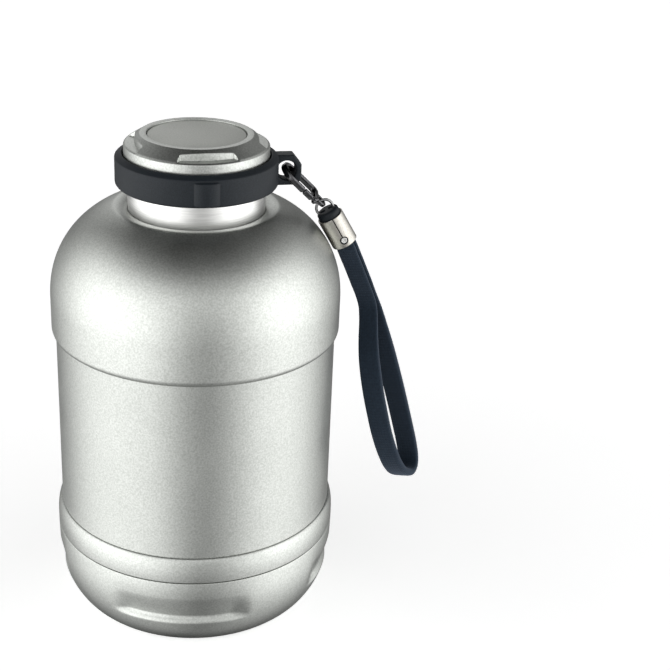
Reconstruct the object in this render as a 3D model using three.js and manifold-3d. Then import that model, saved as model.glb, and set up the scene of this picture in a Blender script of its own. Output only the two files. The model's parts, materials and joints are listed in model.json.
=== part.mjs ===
// Large double-walled water jug with a screw lid, a swivelling carry ring and a wrist strap.
// Millimetres, +Z up. The origin is on the jug's axis, at the surface that it stands on.
// The carry ring's lug points along +X at rest.

import * as THREE from 'three';
import * as BufferGeometryUtils from 'three/addons/utils/BufferGeometryUtils.js';
import Module from 'manifold-3d';

const wasm = await Module();
wasm.setup();

// ---------------------------------------------------------------- driving dimensions

const GAP = 0.3; // between pieces that touch
const TURNS_AROUND = 36; // facets around the axis

// body
const BODY_RADIUS = 67;
const BODY_HEIGHT = 203.5; // up to the foot of the neck
const BASE_HEIGHT = 41.5; // up to the seam between cup and shell
const BASE_CORNER_WIDTH = 19;
const BASE_CORNER_HEIGHT = 33;
const BAND_HEIGHT = 12.5; // raised band above the seam
const PANEL_DEPTH = 2.2; // how far the grip panel is set in
const SHOULDER_HEIGHT = 62; // from the shoulder's lower lip to the neck
const DOME_HEIGHT = 45; // curved part of the shoulder
const DOME_CENTRE_RADIUS = 20;
const SHELL_WALL = 0.8;
const CUP_WALL = 0.9;
const SPIGOT_DEPTH = 5; // shell's stepped end inside the cup
const DOME_FULLNESS = 2.1; // 2 is an ellipse, more is squarer
const BAND_ARC_HEIGHT = 8; // rounded top of the band
const LIP_DROP = 2.5; // shoulder's lower lip, rounded under
const LIP_SET_BACK = 0.3; // dome inside the body's radius
const VACUUM_GAP = 2.6;
const FLASK_WALL = 0.7;

// finger grips pressed into the base cup
const GRIP_COUNT = 4;
const GRIP_OFFSET_ANGLE = -13.5; // degrees from -Y, towards -X
const GRIP_HALF_ANGLE = 29;
const GRIP_DEPTH = 2.4;
const GRIP_TOP = 34;
const GRIP_BOTTOM = 16;

// foot
const PAD_INSET = 5; // pad's edge from the foot's outer edge
const PAD_THICKNESS = 1.6;
const PAD_PROUD = 0.5;

// neck and mouth
const NECK_HEIGHT = 20; // neck's rim above the foot of the neck
const COLLAR_WALL = 2;
const MOUTH_RADIUS = 27.7;
const NECK_WALL = 1; // flask's wall inside the collar
const NECK_GROOVE_DEPTH = 1.1;
const NECK_FILLET = 5;

// screw thread between mouth and plug
const THREAD_STARTS = 3;
const THREAD_LEAD = 12;
const THREAD_DEPTH = 1.2;
const THREAD_ROOT_WIDTH = 1.6;
const THREAD_CREST_WIDTH = 0.9;
const THREAD_SWEEP = 200; // degrees that each start covers
const THREAD_PLAY = 0.5;

// carry ring
const RING_CLEARANCE = 0.4;
const RING_WALL = 3.3;
const RING_HEIGHT = 12.6;
const RING_RISE = 1.6; // inner rim above the outer edge
const RING_LIFT = 7.7; // ring's underside above the foot of the neck
const RING_FLANGE_LIFT = 2; // flange's underside above the ring's
const RING_FLANGE_HEIGHT = 3.4;
const RIB_WIDTH = 12.5;
const RIB_PROUD = 1.7;
const RIB_LIFT = 0.9; // rib's foot above the ring's underside
const RIB_HEIGHT = 10.6;
const LUG_STANDOFF = 4.31; // lug's length beyond the ferrule's radius, so the ferrule clears the shoulder
const LUG_THICKNESS = 7.6;
const LUG_HEIGHT = 14;
const LUG_DROP = 0.7; // lug's middle below the ring's middle
const LUG_CORNER_RADIUS = 4;
const LUG_BEVEL_LENGTH = 3.5; // cut-off top corner
const LUG_BEVEL_HEIGHT = 4.5;
const LUG_HOLE_RADIUS = 4.45;
const LUG_HOLE_EDGE = 6.8; // hole's centre from the lug's outer end

// lid
const LID_OVERHANG = 1.5; // lid's radius beyond the neck's
const LID_WALL = 1;
const SKIRT_DROP = 5.6; // skirt's lower edge below the ring's inner rim
const LID_BAND_HEIGHT = 4.6; // plain band above the ring's inner rim
const LID_CONE_HEIGHT = 4;
const LID_CONE_WIDTH = 7.2;
const LID_RIM_WIDTH = 3;
const LID_DISC_THICKNESS = 0.8;
const LID_DISC_RECESS = 0.6;
const NOTCH_COUNT = 4;
const NOTCH_OFFSET_ANGLE = 2.6; // degrees from -Y, towards +X
const NOTCH_DEPTH = 5.2; // in from the lid's edge
const NOTCH_INNER_WIDTH = 25;
const NOTCH_OUTER_WIDTH = 33;
const PLUG_WALL = 2;
const PLUG_DEPTH = 18; // below the mouth's rim
const PLUG_FLANGE = 2.6;
const GASKET_THICKNESS = 1.2;

// clasp
const CLASP_DROOP = 44.5; // degrees below level
const CLASP_LENGTH = 23.1; // lug hole's centre to the eye's centre
const CLASP_TWIST = 12; // degrees about its length, as it rests
const CLASP_PLAY = 0.7; // between each rail and the lug
const CLASP_THICKNESS = 3;
const CLASP_RAIL = 2.1;
const CLASP_NOSE = 11.8; // nose's end from the lug hole's centre
const CLASP_SEAT = 0.5; // how far the bow hangs below the hole's centre
const EYE_RADIUS = 1.9;
const EYE_WALL = 1.3;
const EYE_THICKNESS = 2;
const PIN_RADIUS = 0.6;
const KNUCKLE_THICKNESS = 1.2;
const KNUCKLE_RADIUS = 1.1;
const SPRING_WIRE = 0.35;
const SPRING_COIL_RADIUS = 0.4;
const SPRING_TURNS = 4;
const SPRING_LENGTH = 3;

// jump ring, ferrule and strap
const LINK_DROOP = 55;
const LINK_RADIUS = 3.9;
const LINK_WIRE = 0.65;
const LINK_PLAY = 0.2; // wire's centre from the centre of a hole that it hangs in
const FERRULE_DROOP = 60;
const FERRULE_CLEARANCE = 0.5; // round the strap's two ends
const FERRULE_WALL = 0.5;
const FERRULE_SLIT = 0.5;
const FERRULE_LENGTH = 15.4;
const CAP_SHOWING = 3.4;
const CAP_INSERT = 3.6;
const CAP_WEB = 1.8;
const CAP_SLOT = 2.2;
const SCREW_RADIUS = 1.4;
const SCREW_RECESS = 2;
const SCREW_LENGTH = 2.6;
const SCREW_FROM_END = 3.4;
const STRAP_WIDTH = 9.4;
const STRAP_THICKNESS = 2.2;

// Centreline of the strap, from where it leaves the ferrule: outward, sideways and up.
// It runs down the front leg, turns round and comes back up the rear leg.
const STRAP_POINTS = [
    [-4.4, -1.1, 6],
    [-0.4, -1.1, -0.9],
    [2.8, 1.2, -7.9],
    [6, 3.2, -14.9],
    [9.8, 5.5, -23.7],
    [12.9, 7.3, -30.8],
    [14.8, 7.8, -36.9],
    [15.1, 5.9, -43.5],
    [14.7, 2.6, -51.6],
    [14.8, -0.3, -60],
    [15.9, -2.1, -69.5],
    [17.6, -3.1, -79.5],
    [19.9, -3.6, -89.9],
    [23, -3.5, -102],
    [27, -2, -113.5],
    [31, 0.6, -122.2],
    [35.6, 4.7, -128.9],
    [40.3, 10.2, -132.2],
    [42.9, 14.3, -130.9],
    [43.4, 16.5, -126.7],
    [41.9, 17.3, -118.2],
    [39.4, 17.2, -108.5],
    [35.8, 16.8, -95.3],
    [32.2, 16.1, -82.7],
    [28.4, 15.2, -70.3],
    [24.8, 14.3, -58.6],
    [21.4, 13.1, -48.1],
    [18.4, 12, -39.4],
    [14.2, 9.5, -29.7],
    [11.2, 7.7, -22.5],
    [7.3, 5.5, -13.7],
    [4.1, 3.4, -6.6],
    [1, 1.1, -0.1],
    [-3, 1.1, 6.8],
];
const STRAP_FACE = [0.552, 0.822, 0.138]; // from the front leg towards the rear leg

// ---------------------------------------------------------------- derived sizes

const SPIGOT_RADIUS = BODY_RADIUS - CUP_WALL - GAP;
const PANEL_RADIUS = BODY_RADIUS - PANEL_DEPTH;
const BAND_TOP = BASE_HEIGHT + BAND_HEIGHT;
const LIP_BOTTOM = BODY_HEIGHT - SHOULDER_HEIGHT;
const DOME_START = BODY_HEIGHT - DOME_HEIGHT;
const FOOT_RADIUS = BODY_RADIUS - BASE_CORNER_WIDTH;
const PAD_RADIUS = FOOT_RADIUS - PAD_INSET;
const PAD_TOP = PAD_THICKNESS;
const FLOOR_TOP = PAD_TOP + GAP + CUP_WALL; // inside of the base cup
const FLASK_RADIUS = PANEL_RADIUS - SHELL_WALL - VACUUM_GAP; // outside of the inner flask
const FLASK_BOTTOM = FLOOR_TOP + 3 * VACUUM_GAP;
const RIM_HEIGHT = BODY_HEIGHT + NECK_HEIGHT;
const FLASK_NECK_RADIUS = MOUTH_RADIUS + NECK_WALL;
const COLLAR_BORE = FLASK_NECK_RADIUS + GAP;
const NECK_RADIUS = COLLAR_BORE + COLLAR_WALL;
const LID_RADIUS = NECK_RADIUS + LID_OVERHANG;
const LID_RIM_RADIUS = LID_RADIUS - LID_CONE_WIDTH;
const NOTCH_DISTANCE = LID_RADIUS - NOTCH_DEPTH; // notch's flat wall from the axis
const RING_BOTTOM = BODY_HEIGHT + RING_LIFT;
const RING_TOP = RING_BOTTOM + RING_HEIGHT;
const RING_RIM = RING_TOP + RING_RISE;
const RING_MIDDLE = RING_BOTTOM + RING_HEIGHT / 2;
const FLANGE_BOTTOM = RING_BOTTOM + RING_FLANGE_LIFT;
const FLANGE_TOP = FLANGE_BOTTOM + RING_FLANGE_HEIGHT;
const RING_BORE = LID_RADIUS + RING_CLEARANCE + GAP;
const RING_RADIUS = RING_BORE + RING_WALL;
const FERRULE_BORE = Math.hypot(STRAP_WIDTH / 2, STRAP_THICKNESS) + FERRULE_CLEARANCE;
const FERRULE_RADIUS = FERRULE_BORE + FERRULE_WALL;
const LUG_LENGTH = LUG_STANDOFF + FERRULE_RADIUS;
const LUG_REACH = RING_RADIUS + LUG_LENGTH; // lug's outer end from the axis
const LUG_MIDDLE = RING_MIDDLE - LUG_DROP;
const SKIRT_BOTTOM = RING_RIM - SKIRT_DROP;
const LEDGE_HEIGHT = RING_RIM + LID_BAND_HEIGHT;
const LID_TOP = LEDGE_HEIGHT + LID_CONE_HEIGHT;
const GASKET_BOTTOM = RIM_HEIGHT + 2 * GAP + FLASK_WALL;
const FLANGE_UNDERSIDE = GASKET_BOTTOM + GASKET_THICKNESS / 2;
const PLUG_RADIUS = MOUTH_RADIUS - THREAD_DEPTH - THREAD_PLAY;
const PLUG_BOTTOM = RIM_HEIGHT - PLUG_DEPTH;

const LUG_HOLE_X = LUG_REACH - LUG_HOLE_EDGE;
const CLASP_WIDTH = LUG_THICKNESS + 2 * (CLASP_RAIL + CLASP_PLAY);

// ---------------------------------------------------------------- materials

function finish(color, roughness, metalness) {
    return new THREE.MeshStandardMaterial({ color, roughness, metalness });
}

const silverPaint = finish(0xb9bab7, 0.35, 0.8);
const brightSteel = finish(0xd4d4d0, 0.3, 1);
const linerSteel = finish(0xc2c2c0, 0.4, 1);
const greySatin = finish(0x8f908c, 0.45, 0.7);
const blackPlastic = finish(0x1c1f22, 0.6, 0);
const whiteFoam = finish(0xe8e8e4, 0.9, 0);
const clearSilicone = finish(0xd9d9d4, 0.6, 0);
const blackRubber = finish(0x17181a, 0.8, 0);
const gunmetal = finish(0x3a3b3d, 0.3, 1);
const springSteel = finish(0x9a9b9c, 0.35, 1);
const brushedNickel = finish(0xa8a59c, 0.35, 1);
const navyWebbing = finish(0x131a24, 0.9, 0);

// ---------------------------------------------------------------- helpers

const degrees = THREE.MathUtils.degToRad;

// Turns an outline of [radius, height] pairs about +Z. It starts and ends on the axis, or closes.
function turned(outline, segments = TURNS_AROUND) {
    const points = outline.map(([radius, height]) => new THREE.Vector2(radius, height));
    const geometry = new THREE.LatheGeometry(points, segments);
    geometry.rotateX(Math.PI / 2);
    return tidied(geometry);
}

// Merges shared vertices, drops triangles of no area, and makes the faces point out.
function tidied(geometry) {
    const bare = new THREE.BufferGeometry();
    bare.setAttribute('position', geometry.getAttribute('position'));
    bare.setIndex(geometry.getIndex());
    const merged = BufferGeometryUtils.mergeVertices(bare, 1e-4);
    const index = Array.from(merged.getIndex().array);
    const kept = [];
    for (let i = 0; i < index.length; i += 3) {
        const [a, b, c] = index.slice(i, i + 3);
        if (a !== b && b !== c && c !== a) {
            kept.push(a, b, c);
        }
    }
    if (signedVolume(merged.getAttribute('position'), kept) < 0) {
        kept.reverse();
    }
    merged.setIndex(kept);
    return merged;
}

function signedVolume(position, index) {
    const corners = [new THREE.Vector3(), new THREE.Vector3(), new THREE.Vector3()];
    let volume = 0;
    for (let i = 0; i < index.length; i += 3) {
        corners.forEach((corner, k) => corner.fromBufferAttribute(position, index[i + k]));
        volume += corners[0].dot(corners[1].clone().cross(corners[2])) / 6;
    }
    return volume;
}

function toManifold(geometry) {
    const merged = tidied(geometry);
    const mesh = new wasm.Mesh({
        numProp: 3,
        vertProperties: new Float32Array(merged.getAttribute('position').array),
        triVerts: new Uint32Array(merged.getIndex().array),
    });
    return new wasm.Manifold(mesh);
}

function fromManifold(manifold) {
    const mesh = manifold.getMesh();
    const geometry = new THREE.BufferGeometry();
    const corners = new Float32Array(mesh.vertProperties);
    geometry.setAttribute('position', new THREE.BufferAttribute(corners, 3));
    geometry.setIndex(new THREE.BufferAttribute(new Uint32Array(mesh.triVerts), 1));
    return geometry;
}

function joined(base, ...others) {
    const sum = others.reduce((solid, other) => solid.add(toManifold(other)), toManifold(base));
    return fromManifold(sum);
}

function cut(base, ...tools) {
    const rest = tools.reduce((solid, tool) => solid.subtract(toManifold(tool)), toManifold(base));
    return fromManifold(rest);
}

// A block between two corners.
function block([x0, y0, z0], [x1, y1, z1]) {
    const geometry = new THREE.BoxGeometry(x1 - x0, y1 - y0, z1 - z0);
    return geometry.translate((x0 + x1) / 2, (y0 + y1) / 2, (z0 + z1) / 2);
}

// A rod of the given length, centred on the origin, along 'x', 'y' or 'z'.
function rod(radius, length, axis, segments = 16) {
    const geometry = new THREE.CylinderGeometry(radius, radius, length, segments);
    if (axis === 'x') {
        geometry.rotateZ(Math.PI / 2);
    } else if (axis === 'z') {
        geometry.rotateX(Math.PI / 2);
    }
    return geometry;
}

// A flat plate in the XY plane, centred on z = 0, with softened edges.
function plate(shape, thickness, bevel, curveSegments = 8) {
    const geometry = new THREE.ExtrudeGeometry(shape, {
        depth: thickness - 2 * bevel,
        bevelEnabled: bevel > 0,
        bevelSize: bevel,
        bevelThickness: bevel,
        bevelOffset: -bevel,
        bevelSegments: 1,
        curveSegments,
    });
    return geometry.translate(0, 0, bevel - thickness / 2);
}

// Part of an ellipse's outline, for use in a turned outline.
// A fullness above 2 squares the ellipse's corners.
function ellipseArc(centre, width, height, fromAngle, toAngle, count, fullness = 2) {
    const swell = (value) => Math.sign(value) * Math.abs(value) ** (2 / fullness);
    const points = [];
    for (let i = 0; i <= count; i += 1) {
        const angle = degrees(fromAngle + ((toAngle - fromAngle) * i) / count);
        const across = width * swell(Math.cos(angle));
        const up = height * swell(Math.sin(angle));
        points.push([centre[0] + across, centre[1] + up]);
    }
    return points;
}

const jug = new THREE.Group();

function addPart(name, geometry, material, parent = jug) {
    const mesh = new THREE.Mesh(geometry, material);
    mesh.name = name;
    parent.add(mesh);
    return mesh;
}

// ---------------------------------------------------------------- body

// Outline of the shoulder's dome, set in by a distance, from its widest point up to a radius.
function domeOutline(setIn, endRadius, count) {
    const centre = [DOME_CENTRE_RADIUS, DOME_START];
    const width = BODY_RADIUS - LIP_SET_BACK - DOME_CENTRE_RADIUS - setIn;
    const height = DOME_HEIGHT - setIn;
    const share = (endRadius - DOME_CENTRE_RADIUS) / width;
    const endAngle = THREE.MathUtils.radToDeg(Math.acos(share ** (DOME_FULLNESS / 2)));
    return ellipseArc(centre, width, height, 0, endAngle, count, DOME_FULLNESS);
}

function heightOnDome(setIn, radius) {
    const [last] = domeOutline(setIn, radius, 1).slice(-1);
    return last[1];
}

function outerShell() {
    const neckHole = NECK_RADIUS + GAP;
    const filletStart = neckHole + NECK_FILLET + 1;
    const filletFoot = heightOnDome(0, filletStart);
    const bandArcCentre = [PANEL_RADIUS, BAND_TOP - BAND_ARC_HEIGHT];
    const bandArc = ellipseArc(bandArcCentre, PANEL_DEPTH, BAND_ARC_HEIGHT, 0, 90, 5);
    const lipWidth = PANEL_DEPTH - LIP_SET_BACK - 0.4;
    const lipCentre = [BODY_RADIUS - LIP_SET_BACK - lipWidth, LIP_BOTTOM + LIP_DROP];
    const lipArc = ellipseArc(lipCentre, lipWidth, LIP_DROP, -90, 0, 3);
    const outside = [
        [SPIGOT_RADIUS, BASE_HEIGHT - SPIGOT_DEPTH],
        [SPIGOT_RADIUS, BASE_HEIGHT + GAP],
        [BODY_RADIUS, BASE_HEIGHT + GAP],
        ...bandArc,
        [PANEL_RADIUS, LIP_BOTTOM - 0.5],
        ...lipArc,
        ...domeOutline(0, filletStart, 7),
        [neckHole + 2.6, filletFoot + 1.7],
        [neckHole + 0.8, filletFoot + 3.6],
        [neckHole, filletFoot + 5.2],
    ];
    const inside = [
        ...domeOutline(SHELL_WALL, neckHole, 6).reverse(),
        [PANEL_RADIUS - SHELL_WALL, LIP_BOTTOM + 1],
        [PANEL_RADIUS - SHELL_WALL, BASE_HEIGHT - SPIGOT_DEPTH],
        [SPIGOT_RADIUS, BASE_HEIGHT - SPIGOT_DEPTH],
    ];
    return turned([...outside, ...inside]);
}

// How far a grip presses the cup's wall in, at a height and an angle in degrees from -Y.
function gripDepth(height, angle) {
    const spacing = 360 / GRIP_COUNT;
    const turn = angle - GRIP_OFFSET_ANGLE + spacing / 2;
    const fromCentre = Math.abs(THREE.MathUtils.euclideanModulo(turn, spacing) - spacing / 2);
    const across = 1 - THREE.MathUtils.smoothstep(fromCentre, GRIP_HALF_ANGLE - 8, GRIP_HALF_ANGLE + 2);
    const upper = 1 - THREE.MathUtils.smoothstep(height, GRIP_BOTTOM + 4, GRIP_TOP);
    const lower = THREE.MathUtils.smoothstep(height, GRIP_BOTTOM, GRIP_BOTTOM + 4);
    return GRIP_DEPTH * across * upper * lower;
}

function baseCup() {
    const footCentre = [FOOT_RADIUS, BASE_CORNER_HEIGHT];
    const cornerRise = BASE_CORNER_HEIGHT - PAD_PROUD;
    const innerRise = BASE_CORNER_HEIGHT - FLOOR_TOP;
    const outline = [
        [0, PAD_TOP + GAP],
        [PAD_RADIUS + GAP, PAD_TOP + GAP],
        [PAD_RADIUS + GAP, PAD_PROUD],
        ...ellipseArc(footCentre, BASE_CORNER_WIDTH, cornerRise, -90, 0, 11),
        [BODY_RADIUS, BASE_HEIGHT],
        [BODY_RADIUS - CUP_WALL, BASE_HEIGHT],
        ...ellipseArc(footCentre, BASE_CORNER_WIDTH - CUP_WALL, innerRise, 0, -90, 9),
        [0, FLOOR_TOP],
    ];
    const geometry = turned(outline);
    const position = geometry.getAttribute('position');
    for (let i = 0; i < position.count; i += 1) {
        const x = position.getX(i);
        const y = position.getY(i);
        const radius = Math.hypot(x, y);
        const angle = THREE.MathUtils.radToDeg(Math.atan2(x, -y));
        const depth = radius > FOOT_RADIUS ? gripDepth(position.getZ(i), angle) : 0;
        const scale = radius > FOOT_RADIUS ? 1 - depth / radius : 1;
        position.setXY(i, x * scale, y * scale);
    }
    return geometry;
}

function basePad() {
    return turned([
        [0, 0],
        [PAD_RADIUS - 1, 0],
        [PAD_RADIUS, PAD_PROUD],
        [PAD_RADIUS, PAD_TOP],
        [0, PAD_TOP],
    ]);
}

// A helical ridge: a straight bar of the thread's section, bent round the axis as it climbs.
function threadRidge(rootRadius, crestRadius, startHeight, startAngle) {
    const towardsCrest = Math.sign(crestRadius - rootRadius);
    const embed = rootRadius - 0.5 * towardsCrest;
    const section = new THREE.Shape([
        new THREE.Vector2(embed, -THREAD_ROOT_WIDTH / 2),
        new THREE.Vector2(embed, THREAD_ROOT_WIDTH / 2),
        new THREE.Vector2(crestRadius, THREAD_CREST_WIDTH / 2),
        new THREE.Vector2(crestRadius, -THREAD_CREST_WIDTH / 2),
    ]);
    const geometry = new THREE.ExtrudeGeometry(section, { depth: 1, steps: 12, bevelEnabled: false });
    const position = geometry.getAttribute('position');
    for (let i = 0; i < position.count; i += 1) {
        const turn = THREAD_SWEEP * position.getZ(i);
        const angle = degrees(startAngle + turn);
        const radius = position.getX(i);
        const height = startHeight + position.getY(i) + (THREAD_LEAD * turn) / 360;
        position.setXYZ(i, radius * Math.cos(angle), radius * Math.sin(angle), height);
    }
    return geometry;
}

function threadRidges(rootRadius, crestRadius, startHeight) {
    const ridges = [];
    for (let start = 0; start < THREAD_STARTS; start += 1) {
        ridges.push(threadRidge(rootRadius, crestRadius, startHeight, (360 * start) / THREAD_STARTS));
    }
    return ridges;
}

const THREAD_RISE = (THREAD_LEAD * THREAD_SWEEP) / 360;
const MOUTH_THREAD_START = RIM_HEIGHT - 2 - THREAD_RISE;
const PLUG_THREAD_START = MOUTH_THREAD_START - THREAD_LEAD / THREAD_STARTS / 2;

function innerFlask() {
    const domeSetIn = BODY_RADIUS - LIP_SET_BACK - FLASK_RADIUS;
    const inner = FLASK_RADIUS - FLASK_WALL;
    const innerNeckFoot = heightOnDome(domeSetIn + FLASK_WALL, MOUTH_RADIUS);
    const cornerCentre = [FLASK_RADIUS - BASE_CORNER_WIDTH, BASE_CORNER_HEIGHT];
    const cornerDrop = BASE_CORNER_HEIGHT - FLASK_BOTTOM;
    const body = turned([
        [0, FLASK_BOTTOM],
        ...ellipseArc(cornerCentre, BASE_CORNER_WIDTH, cornerDrop, -90, 0, 6),
        ...domeOutline(domeSetIn, FLASK_NECK_RADIUS, 6),
        [FLASK_NECK_RADIUS, RIM_HEIGHT + GAP],
        [NECK_RADIUS - 0.6, RIM_HEIGHT + GAP],
        [NECK_RADIUS - 0.6, RIM_HEIGHT + GAP + FLASK_WALL],
        [MOUTH_RADIUS, RIM_HEIGHT + GAP + FLASK_WALL],
        [MOUTH_RADIUS, innerNeckFoot + 0.5],
        ...domeOutline(domeSetIn + FLASK_WALL, MOUTH_RADIUS + 0.5, 6).reverse(),
        ...ellipseArc(cornerCentre, inner - cornerCentre[0], cornerDrop - FLASK_WALL, 0, -90, 6),
        [0, FLASK_BOTTOM + FLASK_WALL],
    ]);
    const crest = MOUTH_RADIUS - THREAD_DEPTH;
    return joined(body, ...threadRidges(MOUTH_RADIUS, crest, MOUTH_THREAD_START));
}

function neckCollar() {
    const foot = heightOnDome(SHELL_WALL, NECK_RADIUS) - 2.5;
    return turned([
        [COLLAR_BORE, foot],
        [NECK_RADIUS, foot],
        [NECK_RADIUS, FLANGE_BOTTOM - GAP],
        [NECK_RADIUS - NECK_GROOVE_DEPTH, FLANGE_BOTTOM - GAP],
        [NECK_RADIUS - NECK_GROOVE_DEPTH, FLANGE_TOP + GAP],
        [NECK_RADIUS, FLANGE_TOP + GAP],
        [NECK_RADIUS, FLANGE_TOP + GAP + 1.5],
        [NECK_RADIUS - 0.4, FLANGE_TOP + GAP + 2],
        [NECK_RADIUS - 0.4, RIM_HEIGHT],
        [COLLAR_BORE, RIM_HEIGHT],
        [COLLAR_BORE, foot],
    ]);
}

// The getter, which holds the vacuum clean, and the disc that seals the pumped hole.
function getter() {
    return rod(6, 1.5, 'z').translate(20, 0, FLASK_BOTTOM - GAP - 0.75);
}

function vacuumSealDisc() {
    return rod(5, 1, 'z').translate(0, 0, FLOOR_TOP + GAP + 0.5);
}

addPart('outer_shell', outerShell(), silverPaint);
addPart('base_cup', baseCup(), silverPaint);
addPart('base_pad', basePad(), blackRubber);
addPart('inner_flask', innerFlask(), linerSteel);
addPart('neck_collar', neckCollar(), brightSteel);
addPart('getter', getter(), springSteel);
addPart('vacuum_seal_disc', vacuumSealDisc(), linerSteel);

// ---------------------------------------------------------------- lid

function lidShell() {
    const inside = LID_RADIUS - LID_WALL;
    const discSeat = LID_TOP - LID_DISC_RECESS - LID_DISC_THICKNESS - GAP;
    const roof = discSeat - LID_WALL;
    const underLedge = LEDGE_HEIGHT - LID_WALL - 0.3;
    const body = turned([
        [inside, SKIRT_BOTTOM],
        [LID_RADIUS, SKIRT_BOTTOM],
        [LID_RADIUS, LEDGE_HEIGHT - 1.4],
        [LID_RADIUS - 0.3, LEDGE_HEIGHT - 0.5],
        [LID_RADIUS - 1, LEDGE_HEIGHT],
        [LID_RIM_RADIUS, LID_TOP],
        [LID_RIM_RADIUS - LID_RIM_WIDTH, LID_TOP],
        [LID_RIM_RADIUS - LID_RIM_WIDTH, discSeat],
        [0, discSeat],
        [0, roof],
        [LID_RIM_RADIUS - LID_WALL, roof],
        [NOTCH_DISTANCE - LID_WALL, underLedge],
        [inside, underLedge],
        [inside, SKIRT_BOTTOM],
    ]);
    const outline = new THREE.Shape([
        new THREE.Vector2(-NOTCH_INNER_WIDTH / 2, -NOTCH_DISTANCE),
        new THREE.Vector2(-NOTCH_OUTER_WIDTH / 2, -LID_RADIUS - 1),
        new THREE.Vector2(NOTCH_OUTER_WIDTH / 2, -LID_RADIUS - 1),
        new THREE.Vector2(NOTCH_INNER_WIDTH / 2, -NOTCH_DISTANCE),
    ]);
    const notches = [];
    for (let i = 0; i < NOTCH_COUNT; i += 1) {
        const notch = new THREE.ExtrudeGeometry(outline, {
            depth: 2 * LID_CONE_HEIGHT,
            bevelEnabled: false,
        });
        notch.translate(0, 0, LEDGE_HEIGHT - 0.3);
        notch.rotateZ(degrees(NOTCH_OFFSET_ANGLE + (360 * i) / NOTCH_COUNT));
        notches.push(notch);
    }
    return cut(body, ...notches);
}

function lidTopDisc() {
    const radius = LID_RIM_RADIUS - LID_RIM_WIDTH - GAP;
    const top = LID_TOP - LID_DISC_RECESS;
    return turned([
        [0, top - LID_DISC_THICKNESS],
        [radius, top - LID_DISC_THICKNESS],
        [radius, top],
        [0, top],
    ]);
}

const PLUG_TOP = LEDGE_HEIGHT - LID_WALL - 2 * GAP;
const FOAM_BOTTOM = PLUG_BOTTOM + PLUG_WALL + GAP;

function lidPlug() {
    const flangeRadius = LID_RADIUS - LID_WALL - GAP;
    const bore = PLUG_RADIUS - PLUG_WALL;
    const grooveRadius = MOUTH_RADIUS + 0.4;
    const body = turned([
        [0, PLUG_BOTTOM],
        [PLUG_RADIUS - 1, PLUG_BOTTOM],
        [PLUG_RADIUS, PLUG_BOTTOM + 1],
        [PLUG_RADIUS, FLANGE_UNDERSIDE],
        [grooveRadius, FLANGE_UNDERSIDE],
        [grooveRadius, GASKET_BOTTOM + GASKET_THICKNESS + GAP],
        [flangeRadius, GASKET_BOTTOM + GASKET_THICKNESS + GAP],
        [flangeRadius, GASKET_BOTTOM + PLUG_FLANGE],
        [bore + PLUG_WALL, GASKET_BOTTOM + PLUG_FLANGE],
        [bore + PLUG_WALL, PLUG_TOP],
        [bore, PLUG_TOP],
        [bore, PLUG_BOTTOM + PLUG_WALL],
        [0, PLUG_BOTTOM + PLUG_WALL],
    ]);
    const crest = MOUTH_RADIUS - THREAD_PLAY;
    return joined(body, ...threadRidges(PLUG_RADIUS, crest, PLUG_THREAD_START));
}

function lidFoam() {
    const radius = PLUG_RADIUS - PLUG_WALL - GAP;
    return turned([
        [0, FOAM_BOTTOM],
        [radius, FOAM_BOTTOM],
        [radius, PLUG_TOP - GAP],
        [0, PLUG_TOP - GAP],
    ]);
}

function lidGasket() {
    const inner = MOUTH_RADIUS + 0.4 + GAP;
    const outer = NECK_RADIUS - 0.6;
    return turned([
        [inner, GASKET_BOTTOM],
        [outer, GASKET_BOTTOM],
        [outer, GASKET_BOTTOM + GASKET_THICKNESS],
        [inner, GASKET_BOTTOM + GASKET_THICKNESS],
        [inner, GASKET_BOTTOM],
    ]);
}

addPart('lid_shell', lidShell(), silverPaint);
addPart('lid_top_disc', lidTopDisc(), greySatin);
addPart('lid_plug', lidPlug(), blackPlastic);
addPart('lid_foam', lidFoam(), whiteFoam);
addPart('lid_gasket', lidGasket(), clearSilicone);

// ---------------------------------------------------------------- carry ring

// The lug's side view, in the XZ plane, with its top outer corner cut off.
function lugShape() {
    const halfHeight = LUG_HEIGHT / 2;
    const root = RING_BORE + 1;
    const cornerX = LUG_REACH - LUG_CORNER_RADIUS;
    const cornerZ = LUG_CORNER_RADIUS - halfHeight;
    const shape = new THREE.Shape();
    shape.moveTo(root, -halfHeight);
    shape.lineTo(cornerX, -halfHeight);
    shape.absarc(cornerX, cornerZ, LUG_CORNER_RADIUS, -Math.PI / 2, 0, false);
    shape.lineTo(LUG_REACH, halfHeight - LUG_BEVEL_HEIGHT);
    shape.lineTo(LUG_REACH - LUG_BEVEL_LENGTH, halfHeight);
    shape.lineTo(root, halfHeight);
    shape.closePath();
    return shape;
}

// A rounded upright rib on the ring, centred on -Y.
function gripRib() {
    const embed = 2;
    const bulge = new THREE.Shape();
    bulge.absellipse(0, 0, RIB_WIDTH / 2, RIB_PROUD + embed, Math.PI, 2 * Math.PI, false);
    bulge.closePath();
    const geometry = new THREE.ExtrudeGeometry(bulge, {
        depth: RIB_HEIGHT,
        bevelEnabled: false,
        curveSegments: 10,
    });
    return geometry.translate(0, embed - RING_RADIUS, RING_BOTTOM + RIB_LIFT);
}

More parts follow.
